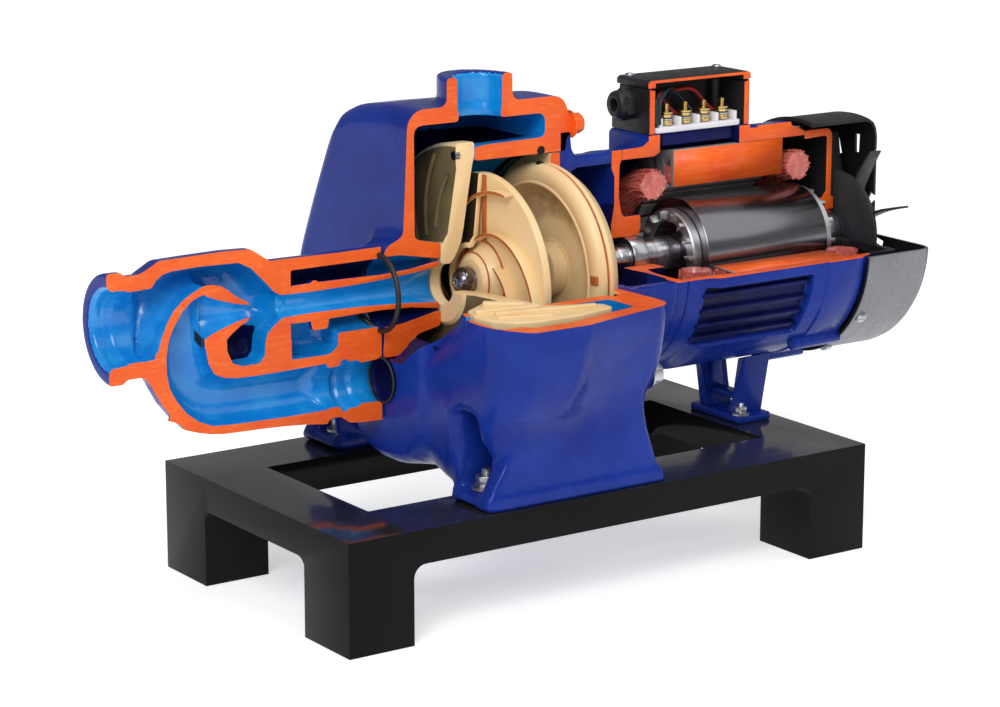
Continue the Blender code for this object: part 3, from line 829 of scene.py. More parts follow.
outer = join(
    join(
        g.side(BODY_OUT, -24, 24, 18),
        g.lathe([(-78, 0), (-78, 34), (-66, 40), (2, 40.2), (16, 30.4), (112, 30.2), (112, 0)]), 6,
    ),
    g.lathe([(-50, 0), (-50, 12), (-30, 17.5), (20, 19.2), (70, 19.6), (79, 25.4), (112, 27), (112, 0)], z=LOW), 6,
)
neck = g.lathe([(-104, 0), (-104, 36), (-102.8, 37.1), (-94, 37.1), (-92.4, 35.6), (-90.5, 34.3), (-62, 34), (-62, 0)])
outer = join(outer, neck, 3)
# a cast rib under the body
outer = join(outer, g.side([(-62, -66), (60, -86), (60, -74), (-50, -60)], -3, 3, 2), 5)
bore = g.lathe([(-110, 0), (-110, 30), (-104, 28), (-101, 25.4), (-97.5, 25.2), (-97.5, 25.9), (-96, 25.9), (-96, 25.1), (-90.6, 24.9), (-89.4, 23.7), (-70, 23.6), (-66, 0)])
inner = join(bore, np.maximum(g.side(CHAMBER, -30, 30, 20), outer + 4), 1.5)
inner = join(inner, g.lathe([(14, 0), (14, 10.5), (22, 8.4), (27, 7.8), (34, 7.7), (34, 0)]), 1.0)
upper_gallery = g.lathe([(32.6, 0), (32.6, 23.6), (112, 23.8), (112, 0)])
lower_gallery = g.side([(32.6, -10), (32.6, -37.6), (61, -37.6), (65, -36), (69, -32.5), (69.5, -10)], -30, 22, 9)
inner = join(join(inner, upper_gallery), lower_gallery, 2)
drive = join(
    g.side(DRIVE, -16.5, 16.5, 13),
    g.lathe([(52, 0), (52, 14), (70, 14.2), (70.8, 17), (72, 18.2), (75, 18.4), (76.6, 16.6), (84, 16.4), (87, 14.3), (99, 14.8), (106, 17), (112, 17), (112, 0)], z=LOW), 1.5,
)
spaces = join(inner, drive)
outer = np.maximum(less(outer, g.y + 4), g.x - 106)
ejector = cast("ejector_casting", g, outer, spaces, [BLUE, CYAN, ORANGE, BLUE_PAINTED_SHADE])
boolean(ejector, block("cutter", -200, 200, -60, 0, -150, 100))
boolean(ejector, block("cutter", 103.7, 200, -60, 100, -150, 100))
boolean(ejector, lathe("cutter", [(100.6, 20), (100.6, 27.6), (110, 27.6), (110, 20)], steps=64))


def ejector_skin(c, n, index):
    deep = (c[:, 0] > -18) & (c[:, 0] < 14) & (c[:, 2] < -15) & (c[:, 2] > -38)
    gallery_shade = (c[:, 0] > 31) & (c[:, 2] > 2) & (c[:, 1] > 4) & (np.hypot(c[:, 1], c[:, 2]) > 21)
    # the backs of the deep pocket and the upper gallery get the darker blue as painted shade
    index[(index == 1) & (deep & (c[:, 1] > 16) | gallery_shade)] = 3
    return index


dress_cast(ejector, g, outer, spaces, [(1, 0.0), (0, 103.7)], 2, ejector_skin)
shade(ejector, 38)
mount(ejector, STILL, "casing_blue", "ejector_body")

# nozzle, with its seat ring
nozzle = lathe("nozzle_casting", [
    (-33.4, 15.2), (-33.4, 20.6), (-32, 21.1), (-27, 21), (-20.5, 19.4), (-16.5, 17), (-12.8, 13.8), (-6.5, 9.4), (-0.8, 6.4), (0.4, 5.2),
    (0, 4.2), (-9.7, 6.2), (-19, 9), (-26, 11.4), (-31, 13.6),
], [CYAN, BLUE, ORANGE], 96)
boolean(nozzle, block("cutter", -60, 30, -60, 0.04, -60, 60))
paint_where(nozzle, lambda c, n: np.where(on_plane(c, n, 1, 0.0), 2, np.where(n[:, 1] * c[:, 1] + n[:, 2] * c[:, 2] > 0, 1, 0)))
bevelled(nozzle, 0.35, 2)
mount(nozzle, STILL, "casing_blue", "ejector_nozzle")

seat = lathe("nozzle_seat_ring", [(-35.4, 14.6), (-35.4, 20), (-33.7, 20), (-33.7, 14.6)], RUBBER, 64)
boolean(seat, block("cutter", -60, 30, -60, 0.4, -60, 60))
mount(seat, STILL, "seal_rubber")

# the long tapered tube
venturi = lathe("venturi_casting", [
    (32.4, 7.5), (32.4, 12.2), (34, 13), (48, 13.2), (49.5, 14.6), (52.5, 14.6), (54, 13.2), (78, 12.8), (104, 12.4), (128, 13.6), (146, 16.2),
    (150, 16.6), (150.6, 15.2), (150.4, 12.6), (128, 10.2), (104, 8.6), (80, 7.6), (50, 7.2),
], [CYAN, BLUE, ORANGE], 96)
boolean(venturi, block("cutter", 0, 200, -60, 0, -60, 60))
paint_where(venturi, lambda c, n: np.where(on_plane(c, n, 1, 0.0), 2, np.where(n[:, 1] * c[:, 1] + n[:, 2] * c[:, 2] > 0, 1, 0)))
bevelled(venturi, 0.35, 2)
boss = lathe_up("venturi_boss", [(0, -19.5), (5.2, -19.5), (6.4, -18.4), (7.6, -12.4), (0, -12.4)], 55, 2, [ORANGE, BLUE], 32)
boolean(boss, block("cutter", 0, 200, -60, 0.04, -60, 60))
boolean(boss, lathe("cutter", [(30, 0), (30, 12.6), (80, 12.6), (80, 0)], steps=64))
paint_where(boss, lambda c, n: np.where(on_plane(c, n, 1, 0.0), 0, 1))
venturi = merged("venturi_tube_look", [venturi, boss])
mount(venturi, STILL, "casing_blue", "venturi_tube")

# the joint's O-ring, hanging a little out of its seat on the near side
points = []
for k in range(72):
    a = 2 * pi * k / 72
    loose = max(0.0, -cos(a)) * max(0.0, -sin(a)) * 2
    r = 26.2 - 4.0 * min(1.0, loose * 1.3)
    points.append((102.2 - 1.3 * max(0.0, cos(a)) - 7.0 * loose, -r * cos(a), r * sin(a)))
ring = tube("joint_ring", points, 1.9, RUBBER, 12, closed=True)
mount(ring, STILL, "seal_rubber", "joint_o_ring")
lower_ring = tube("drive_bore_ring", [(103.2, -15.6 * cos(2 * pi * k / 48), LOW + 15.6 * sin(2 * pi * k / 48)) for k in range(48)], 0.9, RUBBER, 10, closed=True)
mount(lower_ring, STILL, "seal_rubber")

# ===================================================================== casing
HALF_OUT = [(38, 122.5), (74, 117.5), (92, 110), (105, 94), (124, 50), (141, 6), (142, -10), (139.5, -22), (131, -48), (119, -68), (78, -84), (72, -118)]
HALF_IN = [(34, 111.5), (66, 107), (82, 100), (95, 87), (113, 46), (131, 2), (129, -18), (120, -42), (109, -58), (67, -74), (61, -106)]
NECK = [(30, 33), (45, 15), (50, -20), (50, -90), (38, -112), (15, -120)]
FOOT = [(113, -129.7), (255, -129.7), (253, -121), (236, -66), (138, -66), (128, -100), (114, -121)]
FOOT_TOP = [(127, -119), (242, -119), (234, -60), (141, -60)]
SWELL = [(-12, -66), (-27, -42), (-79, -8), (-88, 4), (-88, 40), (-150, 40), (-148, -30), (-136, -56), (-116, -80), (-92, -108), (-70, -122), (-42, -112), (-14, -91)]
SWELL_PLAN = [(104.6, 12), (104.6, -98), (106.4, -120), (113, -134), (127, -143), (150, -146), (176, -147), (176, 12)]
SWELL_IN = [(-86, 20), (-133, 20), (-125, -40), (-110, -54), (-86, -60)]
NOTCH = [(90, -46.5), (113, -46.5), (118, -45.5), (123.5, -41.5), (127, -37.5), (132, -35), (151, -33), (166, -29), (166, 60), (90, 60)]
PORT_X = 185.0

g2 = Grid((97, -152, -133), (262, 152, 146), 2.15)


def narrowing(outline, x0, x1, r, near=1.0, lean=0.0):
    """A cross-section carried along X that narrows towards the motor; the near half can be wider, and the front face can lean."""
    squeeze = 1 + 0.17 * np.clip((g2.x - 166) / 87, 0, 1)
    y = g2.y * squeeze / np.where(g2.y < 0, near, 1.0).astype(np.float32)
    d2 = poly(y + 0 * g2.z, g2.z + 0 * y, outline)
    x = g2.x - lean * np.clip(g2.z, 0, 125)
    return capped(d2, np.abs(x - (x0 + x1) / 2) - (x1 - x0) / 2, r)


outer = narrowing([(y * 1.02, z) for y, z in softened(both(HALF_OUT), 2, 0.16)], 120, 253.6, 13, 1.05, 0.05)
swell = less(g2.plan(softened(SWELL_PLAN, 2, 0.2), -140, 60), -g2.across(softened(SWELL, 2, 0.14), 90, 177), 22)
outer = join(outer, swell, 10)
outer = join(outer, g2.across(softened([(y, z) for y, z in both(NECK)], 1, 0.2), 98, 140, 3), 9)
outer = join(outer, g2.lathe([(96, 0), (96, 31), (124, 32), (140, 34.5), (140, 0)]), 7)
outer = join(outer, g2.lathe([(96, 0), (96, 27), (124, 30), (140, 32), (140, 0)], z=LOW), 9)
PANEL = [(105, -129.6), (258, -129.6), (253, -119), (243, -90), (238, -64), (247, -36), (247, -10), (130, -10), (134, -40), (145, -58), (139, -72), (125, -99), (110, -121)]
WEB = [(117, -129.6), (236, -129.6), (232, -50), (108, -50), (104, -66), (109, -98)]
POCKET = [(90, -120.6), (147, -120.6), (147, -82), (140, -72), (122, -67), (90, -67)]
CORE_BLOCK = [(150, -129.6), (240, -129.6), (236, -50), (146, -50)]
for s in (-1, 1):
    outer = join(outer, g2.side(PANEL, min(s * 104, s * 119), max(s * 104, s * 119), 4), 16)
    outer = join(outer, g2.side(WEB, min(s * 73, s * 82), max(s * 73, s * 82), 3), 8)
    outer = join(outer, g2.side(CORE_BLOCK, min(s * 75, s * 112), max(s * 75, s * 112), 3), 4)
    outer = less(outer, g2.side(POCKET, min(s * 83, s * 104), max(s * 83, s * 104), 6), 5)
    outer = join(outer, g2.side([(106, -129.6), (257, -129.6), (255.5, -120.5), (109, -120.5)], min(s * 73, s * 119), max(s * 73, s * 119), 2.0), 5)
outer = join(outer, g2.lathe_up([(0, 105), (29.5, 105), (28, 124), (27.2, 127), (27.2, 142), (0, 142)], PORT_X, 0, 0.78), 5)
outer = join(outer, g2.side([(246, 92), (262, 94), (262, 108), (246, 113)], -9, 12, 3), 4)
outer = less(outer, g2.x - 104.4, 16)
outer = np.maximum(outer, -150.4 - g2.y)

hollow = narrowing(softened(both(HALF_IN), 1, 0.16), 131, 240, 6, 1.05, 0.0)
hollow = less(hollow, np.maximum(np.maximum(227 - g2.x, g2.z - 4), 92 - np.hypot(g2.y, g2.z)), 3)
hollow = join(hollow, g2.across(softened(SWELL_IN, 1, 0.12), 113, 150, 5))
boss = g2.lathe([(108, 0), (108, 33.5), (130, 33.5), (152.2, 29), (152.2, 0)])
hollow = less(hollow, boss, 4)
shell = g2.lathe([(180.6, 83.2), (180.6, 92.4), (190, 93.6), (250, 94.5), (250, 83)])
hollow = less(hollow, shell, 5)
hollow = join(hollow, g2.lathe([(90, 0), (90, 24.2), (119, 24.2), (134, 21.4), (152, 18), (172, 18), (172, 0)]), 1.5)
hollow = join(hollow, g2.lathe([(90, 0), (90, 15), (136, 15), (136, 0)], z=LOW), 1.5)
hollow = join(hollow, g2.lathe([(200, 0), (200, 83), (300, 83), (300, 0)]))
hollow = join(hollow, g2.lathe_up([(0, 98), (17.4, 98), (17.6, 118), (18.6, 120), (18.8, 150), (0, 150)], PORT_X, 0), 1.0)
gone = np.maximum(g2.y + 4, 1 - g2.z)
outer = np.maximum(outer, -gone)
casing = cast("casing_casting", g2, outer, hollow, [BLUE, CYAN, ORANGE, BLUE_PAINTED_SHADE, HOLE_SHADE])
open_quarter(casing)
notch = side("cutter", NOTCH, -75.7, 0)
boolean(notch, across("keep", [(-76.5, 62), (-76.5, -9), (-30, -40), (-21, -46.8), (2, -46.8), (2, 62)], 80, 170), "INTERSECT")
boolean(casing, notch)
boolean(casing, block("cutter", 60, 104.3, -200, 200, -200, 200))
# the sealing ring's groove and a lifting hole, as the saw met them
for x, r, size in ((236.5, 85.0, 3.4), (237.6, 74.5, 2.6)):
    boolean(casing, lathe("cutter", [(x + size * cos(pi * i / 6), r + size * sin(pi * i / 6)) for i in range(12)], steps=120))
boolean(casing, block("cutter", 60, 300, -200, 200, -200, -129.7))


def casing_skin(c, n, index):
    shadow = (index == 1) & (c[:, 0] > 128) & (c[:, 2] < 92) & (c[:, 1] > 26) & (np.hypot(c[:, 1], c[:, 2]) > 95)
    index[shadow] = 3
    # the lower hollow towards the suction end gets the darker blue as painted shade
    index[(index == 1) & (c[:, 2] < -8) & (c[:, 0] < 190)] = 3
    groove = (np.abs(np.hypot(c[:, 0] - 236.5, np.hypot(c[:, 1], c[:, 2]) - 85) - 3.2) < 0.5) | (np.abs(np.hypot(c[:, 0] - 237.6, np.hypot(c[:, 1], c[:, 2]) - 74.5) - 2.4) < 0.5)
    # the groove faces get near black as painted shade
    index[groove] = 4
    slope = (c[:, 0] < 166) & (c[:, 1] < -26) & (c[:, 1] > -76) & (c[:, 2] < -8) & (np.abs(c[:, 2] + 40 + (c[:, 1] + 30) * 31 / 46.5) < 0.8) & (n[:, 2] > 0.3)
    index[slope] = 0
    ledge = ~slope & (c[:, 0] < 166) & (c[:, 1] < -0.5) & (c[:, 1] > -75.6) & (c[:, 2] > -47) & (c[:, 2] < -28) & (n[:, 2] > 0.3)
    # the ledge under the lip gets the darker blue as painted shade
    index[ledge] = 3
    index[(c[:, 0] < 112) & (c[:, 1] < -24) & (c[:, 2] < -6)] = 0
    # this short wall face gets the darker blue as painted shade
    index[(np.abs(c[:, 1] + 75.7) < 0.1) & (np.abs(n[:, 1]) > 0.99) & (c[:, 2] > -12)] = 3
    return index


dress_cast(casing, g2, outer, hollow, [(1, 0.0), (2, CUT_Z)], 2, casing_skin)
shade(casing, 38)
mount(casing, STILL, "casing_blue", "pump_casing")


# ======================================================= small standard pieces
def prism_y(x, z, r, y0, y1, mats=None):
    """A round plug lying along Y."""
    return side("plug", [(x + r * cos(2 * pi * k / 28), z + r * sin(2 * pi * k / 28)) for k in range(28)], y0, y1, mats or [HOLE_SHADE])


def bolt_x(name, x, y, z, across_flats, head, direction=-1, mats=ZINC, shank=0, washer=True):
    """A hexagon head facing -X or +X, with a chamfer and a washer under it."""
    r = across_flats / 2 / cos(pi / 6)
    parts = []
    s = direction
    base = x + s * (1.6 if washer else 0)
    hexagon = [(y + r * cos(pi / 6 + k * pi / 3), z + r * sin(pi / 6 + k * pi / 3)) for k in range(6)]
    head_piece = across(name, hexagon, min(base, base + s * head), max(base, base + s * head), mats)
    cone = lathe("tool", [(base, 0), (base, r * 1.1), (base + s * (head - r * 0.14), r * 1.1), (base + s * head, r * 0.86), (base + s * head, 0)], steps=32, y=y, z=z)
    outward(cone)
    boolean(head_piece, cone, "INTERSECT")
    parts.append(bevelled(head_piece, 0.25, 1))
    if washer:
        parts.append(bevelled(lathe("w", [(x, 0), (x, r * 1.32), (base, r * 1.32), (base, 0)], mats, 32, y, z), 0.25, 1))
    if shank:
        parts.append(lathe("s", [(x, 0), (x, shank), (x - s * 12, shank), (x - s * 12, 0)], mats, 16, y, z))
    return merged(name, parts)


def bolt_z(name, x, y, z, across_flats, head, mats=ZINC, washer=True, stud=0.0, turn=0.0):
    """A hexagon nut or head seen from above, with its washer and the end of its stud."""
    r = across_flats / 2 / cos(pi / 6)
    base = z + (1.8 if washer else 0)
    hexagon = [(x + r * cos(turn + k * pi / 3), y + r * sin(turn + k * pi / 3)) for k in range(6)]
    head_piece = plan(name, hexagon, base, base + head, mats)
    cone = lathe_up("tool", [(0, base - 1), (r * 1.1, base - 1), (r * 1.1, base + head - r * 0.14), (r * 0.84, base + head), (0, base + head)], x, y, steps=32)
    boolean(head_piece, cone, "INTERSECT")
    parts = [bevelled(head_piece, 0.3, 1)]
    if washer:
        parts.append(bevelled(lathe_up("w", [(0, z), (r * 1.4, z), (r * 1.4, base), (0, base)], x, y, mats, 40), 0.3, 1))
    if stud:
        pitch, profile = 1.25, [(0, base)]
        zz = base
        while zz < base + head + stud:
            profile += [(across_flats * 0.29, zz), (across_flats * 0.25, zz + pitch / 2)]
            zz += pitch
        profile += [(across_flats * 0.2, zz), (0, zz)]
        parts.append(lathe_up("s", profile, x, y, mats, 24))
    return merged(name, parts)


# foot bolts of the casing, through the stand
for tag, x, y in (("front_left", 127, -93), ("front_right", 247, -93), ("rear_left", 127, 93), ("rear_right", 247, 93)):
    mount(bolt_z("foot_bolt_" + tag, x, y, -120.5, 13, 8, stud=4, turn=0.3), STILL, "bright_steel")

# dark plugs fill the groove and the hole as painted shade
plug = [bevelled(prism_y(x, z, r, 0.5, 5.0), 0.2, 1) for x, z, r in ((236.5, 85.0, 3.3), (237.6, 74.5, 2.5))]
mount(merged("groove_shadow", plug), STILL, "seal_rubber")

# bolts of the casing: a bolt lug at the top right, and flange bolts round the joint
lug = bolt_x("flange_bolt_top", 262, 3, 101, 13, 8, 1, ORANGE, washer=True)
mount(lug, STILL, "bright_steel")
for k, a in enumerate((150, 205, 250, 290, 335)):
    y, z = -86 * cos(radians(a)), 86 * sin(radians(a))
    if y < 0 and z > -10:
        continue
    mount(bolt_x("flange_bolt_%d" % k, 254.2, y * 1.03, z * 1.03, 13, 8, 1), STILL, "bright_steel")
mount(bolt_x("flange_bolt_near", 254.0, -100, -58, 14, 9, 1), STILL, "bright_steel")

# =============================================== cream body in the near volute
liner_parts = []
deck = [(115, -96), (122, -78), (144, -64), (156, -74), (172, -92), (209, -111), (209, -123), (178, -130.5), (142, -131), (128, -126), (117.5, -113)]
slab = plan("slab", rounded(deck, 4), -9, -0.6, CREAM)
liner_parts.append(bevelled(slab, 1.2, 3))
# raised ribs of the return passages, as the saw met them
for k, (x0, y0, x1, y1, w, h) in enumerate((
(120, -90, 166, -98, 6, 2.6), (128, -101, 200, -116, 5, 2.2), (138, -72, 160, -90, 7, 3.0), (124, -110, 160, -123, 5, 1.6),
)):
    dx, dy = x1 - x0, y1 - y0
    length = sqrt(dx * dx + dy * dy)
    px, py = -dy / length * w / 2, dx / length * w / 2
    rib = plan("rib", rounded([(x0 + px, y0 + py), (x1 + px, y1 + py), (x1 - px, y1 - py), (x0 - px, y0 - py)], 2), -2, -0.6 + h, CREAM)
    liner_parts.append(bevelled(rib, 1.0, 3))
liner = merged("volute_liner_look", liner_parts)
mount(liner, STILL, "impeller_cream", "volute_liner")

# ==================================================================== diffuser
DIFFUSER = [
    (152.6, 14.5), (152.4, 26.4), (154.4, 28.6), (158, 34), (162, 58), (165.4, 79), (165, 82), (165, 94), (166.4, 96.4), (179, 96.4), (180.3, 95),
    (180.3, 87.4), (179.6, 84.4), (178.2, 79), (174.6, 58), (171.4, 38), (169.4, 28.4), (167.6, 24.6), (163.4, 17), (160, 13.6), (155, 13.6),
]
diffuser = lathe("diffuser_body", DIFFUSER, [CREAM, ORANGE, LINE, SHADE], 144)
open_quarter(diffuser)
paint_where(diffuser, lambda c, n: np.where((n[:, 0] < -0.5) & (np.hypot(c[:, 1], c[:, 2]) > 30) & ((c[:, 1] > 0.5) | (c[:, 2] < -0.8)) & (np.hypot(c[:, 1], c[:, 2]) < 93), 3, 0))
bevelled(diffuser, 0.8, 3)
parts = [diffuser]
# return vanes on its suction side, far half
for k in range(9):
    a0 = radians(96 + 19 * k)
    pts = []
    for i in range(7):
        t = i / 6
        r, a = 40 + 50 * t, a0 - 0.5 * t
        if -r * cos(a) < 2:
            continue
        pts.append((159.5 + 4.2 * t, -r * cos(a), r * sin(a)))
    if len(pts) > 2:
        parts.append(tube("vane", pts, 1.6, SHADE, 8))
knob = lathe("knob", [(163, 0), (163, 4), (164.4, 4.8), (182, 4.8), (183.4, 3.6), (183.4, 0)], [CREAM], 32, y=3.0, z=94.0)
mount(merged("diffuser_look", parts), STILL, "impeller_cream", "diffuser")
hole = lathe("diffuser_pin", [(164.2, 0), (164.2, 3.2), (168, 3.2), (168, 0)], [DARK_STEEL], 24, y=2.0, z=88.0)
mount(hole, STILL, "bright_steel")
bpy.data.objects.remove(knob, do_unlink=True)

# ==================================================================== impeller
IMP_X, EYE_R, IMP_R = 188.0, 24.0, 74.0
SPIRAL_IN, SPIRAL_OUT, SWEEP, THICK = 25.0, 73.2, radians(112), 2.6


def vane_points(turn, width, steps=40):
    near, far = [], []
    for i in range(steps + 1):
        t = i / steps
        r = SPIRAL_IN + (SPIRAL_OUT - SPIRAL_IN) * t ** 1.15
        a = turn - SWEEP * t
        w = width / 2 * (0.55 + 0.45 * min(1, t * 6)) * (1.0 if t < 0.94 else 1 - (t - 0.94) * 5)
        for row, off in ((near, -w), (far, w)):
            row.append((-(r + off) * cos(a), (r + off) * sin(a)))
    return near + far[::-1]


def shroud_x(r):
    return 178.8 + (r - EYE_R) * 0.1


disc = lathe("disc", [
    (187.8, 26), (187.8, 73.2), (188.4, 74), (193, 74), (193.8, 73.2), (193.8, 24), (197, 20.4), (205.4, 18), (206, 17.4), (206, 8.4),
    (176.6, 8.4), (176.4, 15.4), (178, 17.4), (181.4, 20), (185.8, 23),
], [CREAM, LINE], 160)
bevelled(disc, 0.5, 2)
parts = [disc]
turns = [radians(100) + 2 * pi * k / 5 for k in range(5)]
for turn in turns:
    low = across("vane", vane_points(turn, THICK), IMP_X - 8, IMP_X + 1, [CREAM, LINE])
    paint_where(low, lambda c, n: np.where(n[:, 0] < -0.8, 1, 0))
    bevelled(low, 0.35, 2, 40)
    parts.append(low)
    high = across("vane", vane_points(turn, THICK), IMP_X - 21, IMP_X + 1, [CREAM, LINE])
    cone = lathe("tool", [(140, 0), (140, 100), (shroud_x(100) + 1.2, 100), (shroud_x(0) + 1.2, 0)], steps=96)
    boolean(high, cone)
    boolean(high, block("tool", 100, 250, -100, 0.2, -100, 100))
    paint_where(high, lambda c, n: np.where(on_plane(c, n, 1, 0.2), 1, 0))
    parts.append(high)
front = lathe("front", [
    (shroud_x(EYE_R) - 3.4, EYE_R - 1.6), (shroud_x(EYE_R) - 3.8, EYE_R), (shroud_x(EYE_R) - 2.6, EYE_R + 2.2), (shroud_x(30), 30.5), (shroud_x(73), 73.2), (shroud_x(73.4) + 0.8, 74),
    (shroud_x(74) + 3.2, 74), (shroud_x(74) + 3.6, 73.2), (shroud_x(32) + 3.8, 32), (shroud_x(27) + 3, 27), (shroud_x(EYE_R) + 1, EYE_R - 1.2),
], [CREAM, LINE, GAP], 160)
boolean(front, block("tool", 100, 250, -100, 0.0, -100, 100))
paint_where(front, lambda c, n: np.where((n[:, 0] < -0.5) & (c[:, 1] > 0.3) & (np.hypot(c[:, 1], c[:, 2]) > 27), 2, 0))
bevelled(front, 0.5, 2)
parts.append(front)
parts.append(bevelled(block("cut_mark", 186.6, 187.9, -4.2, 0.4, 27, 73, [LINE]), 0.4, 2))
# painted lines round the hub
for r, x, w in ((26.4, 187.4, 0.8), (19.0, 179.6, 0.6)):
    parts.append(tube("line", [(x, -r * cos(2 * pi * k / 40), r * sin(2 * pi * k / 40)) for k in range(40)], w, LINE, 8, closed=True))
impeller = merged("impeller_look", parts)
mount(impeller, ROTOR, "impeller_cream", "impeller")

# nut in the eye
nut_body = lathe("nut", [(164.2, 0), (164.2, 3.4), (165, 5.4), (166.6, 7.4), (169.4, 8.7), (176, 8.9), (176, 0)], DARK_STEEL, 64)
flats = across("flats", [(9.9 * cos(k * pi / 3 + 0.3), 9.9 * sin(k * pi / 3 + 0.3)) for k in range(6)], 168.6, 176, DARK_STEEL)
dome = lathe("tool", [(160, 0), (160, 4), (166.4, 7.6), (169.4, 9.7), (174.6, 9.7), (176, 9), (176, 0)], steps=64)
boolean(flats, dome, "INTERSECT")
bevelled(flats, 0.4, 2)
slot_ring = lathe("ring", [(166.0, 2.0), (163.9, 2.2), (163.9, 3.0), (166.0, 3.2)], STEEL, 32)
mount(merged("impeller_nut_look", [nut_body, flats, slot_ring]), ROTOR, "bright_steel", "impeller_nut")

# mechanical seal: stationary ring, spring coils, drive collar
parts = [bevelled(lathe("seal", [(206.3, 8.3), (206.3, 14.6), (211.4, 16.6), (213, 16.6), (213, 12), (222, 12), (222, 16), (226.6, 16), (228, 14.2), (232, 13.8), (232, 8.3)], STEEL, 72), 0.4, 2)]
coil = []
for k in range(0, 4 * 14 + 1):
    a = 2 * pi * k / 14
    coil.append((213.6 + 8 * k / 56, -14.1 * cos(a), 14.1 * sin(a)))
parts.append(tube("coil", coil, 1.0, STEEL, 8))
mount(merged("mechanical_seal_look", parts), ROTOR, "bright_steel", "mechanical_seal")

# =================================================== closing disc behind it all
flange = lathe("plate_flange", [(244.4, 70), (244.4, 81.8), (245, 82.2), (252.4, 82.2), (253, 81.6), (253, 70)], [CREAM, ORANGE], 160)
open_quarter(flange)
paint_where(flange, lambda c, n: np.where(on_plane(c, n, 1, 0.0, 0.02) | on_plane(c, n, 2, CUT_Z, 0.02), 1, 0))
seat_parts = [lathe("seat_ring", [(236, 10.4), (236, 17), (237.5, 18.6), (246.2, 19.2), (246.2, 22), (250, 22), (250, 10.4), (243, 9.4), (238, 9.4)], [CREAM], 72)]
plate = lathe("plate", [
    (231.6, 61.8), (231.6, 63.4), (232.6, 64.2), (232.2, 65.2), (232.2, 71), (233.6, 73.4), (235.4, 75.2), (236.4, 75.7), (239.4, 75.7), (240.0, 74.6), (241.8, 74.6), (242.4, 75.7),
    (244.4, 75.7), (252.4, 70), (253, 69), (253, 19.4), (246.4, 19.4), (246.4, 30), (248, 34), (249.4, 40), (247.4, 49), (240, 57.4), (234, 60.6),
], [CREAM, LINE, SHADE], 160)
paint_where(plate, lambda c, n: np.where((c[:, 0] > 239.6) & (c[:, 0] < 242.1) & (np.hypot(c[:, 1], c[:, 2]) > 74), 1, 0))
mount(merged("seal_plate_look", [bevelled(flange, 0.4, 2), bevelled(plate, 0.5, 2), bevelled(seat_parts[0], 0.4, 2)]), STILL, "impeller_cream", "seal_plate")
notch = lathe("plate_mark", [(231.2, 66.2), (231.2, 72.4), (233.2, 73.6), (233.2, 66.2)], [LINE], 8, start=1.5, sweep=5)
mount(bevelled(notch, 0.3, 1), STILL, "impeller_cream")

# ===================================================================== bracket
bracket = lathe("bracket_casting", [
    (253.3, 61), (253.3, 95.4), (254, 96), (260.4, 96), (261.2, 95.4), (262.6, 84), (265.6, 78.6), (290, 78), (292, 79), (297.7, 79),
    (297.7, 70), (268, 70), (263, 68), (262, 64), (262, 61),
], [BLUE, BLUE_PAINTED_SHADE], 144)
for a in (35, 80, 125, 180, 215, 260, 305, 330):
    u, v = (-cos(radians(a)), sin(radians(a))), (sin(radians(a)), cos(radians(a)))
    pts = [(u[0] * r + v[0] * w, u[1] * r + v[1] * w) for r, w in ((75, -2.2), (92, -2.0), (92, 2.0), (75, 2.2))]
    rib = across("rib", pts, 259, 268, [BLUE])
    boolean(bracket, rib, "UNION", solver="EXACT")
open_quarter(bracket)
for a0, a1 in ((215, 250), (290, 325)):
    pts = [(-r * cos(radians(a)), r * sin(radians(a))) for r, a in ((60, a0), (100, a0), (104, (a0 + a1) / 2), (100, a1), (60, a1))]
    boolean(bracket, across("vent", pts, 271, 286))
# inward faces get the darker blue as painted shade
paint_where(bracket, lambda c, n: np.where((n[:, 1] * c[:, 1] + n[:, 2] * c[:, 2] < -0.2 * np.hypot(c[:, 1], c[:, 2])), 1, 0))
mount(bevelled(bracket, 0.7, 2), STILL, "casing_blue", "motor_bracket")

# ======================================================================= motor
M0, M1, MR, MI = 298.0, 455.0, 85.0, 74.0
shield = lathe("front_shield_casting", [
    (298, 15.6), (298, 26), (299, 30), (300.6, 40), (300.6, 60), (298, 66), (298, 78.2), (298.6, 78.8), (306.4, 78.8), (307, 78.2), (307, 72), (305, 68), (304.6, 44),
    (307, 33), (309, 30.2), (323.2, 30), (324, 29.2), (324, 20.5), (322.4, 15.6),
], [BLUE, ORANGE, BLUE_PAINTED_SHADE], 144)
open_quarter(shield)
# faces towards the motor and round the bore get the darker blue as painted shade
paint_where(shield, lambda c, n: np.where(on_plane(c, n, 1, 0.0, 0.02) | on_plane(c, n, 2, CUT_Z, 0.02), 1, np.where((n[:, 0] > 0.5) | (np.hypot(c[:, 1], c[:, 2]) < 40), 2, 0)))
mount(bevelled(shield, 0.5, 2), STILL, "casing_blue", "front_shield")

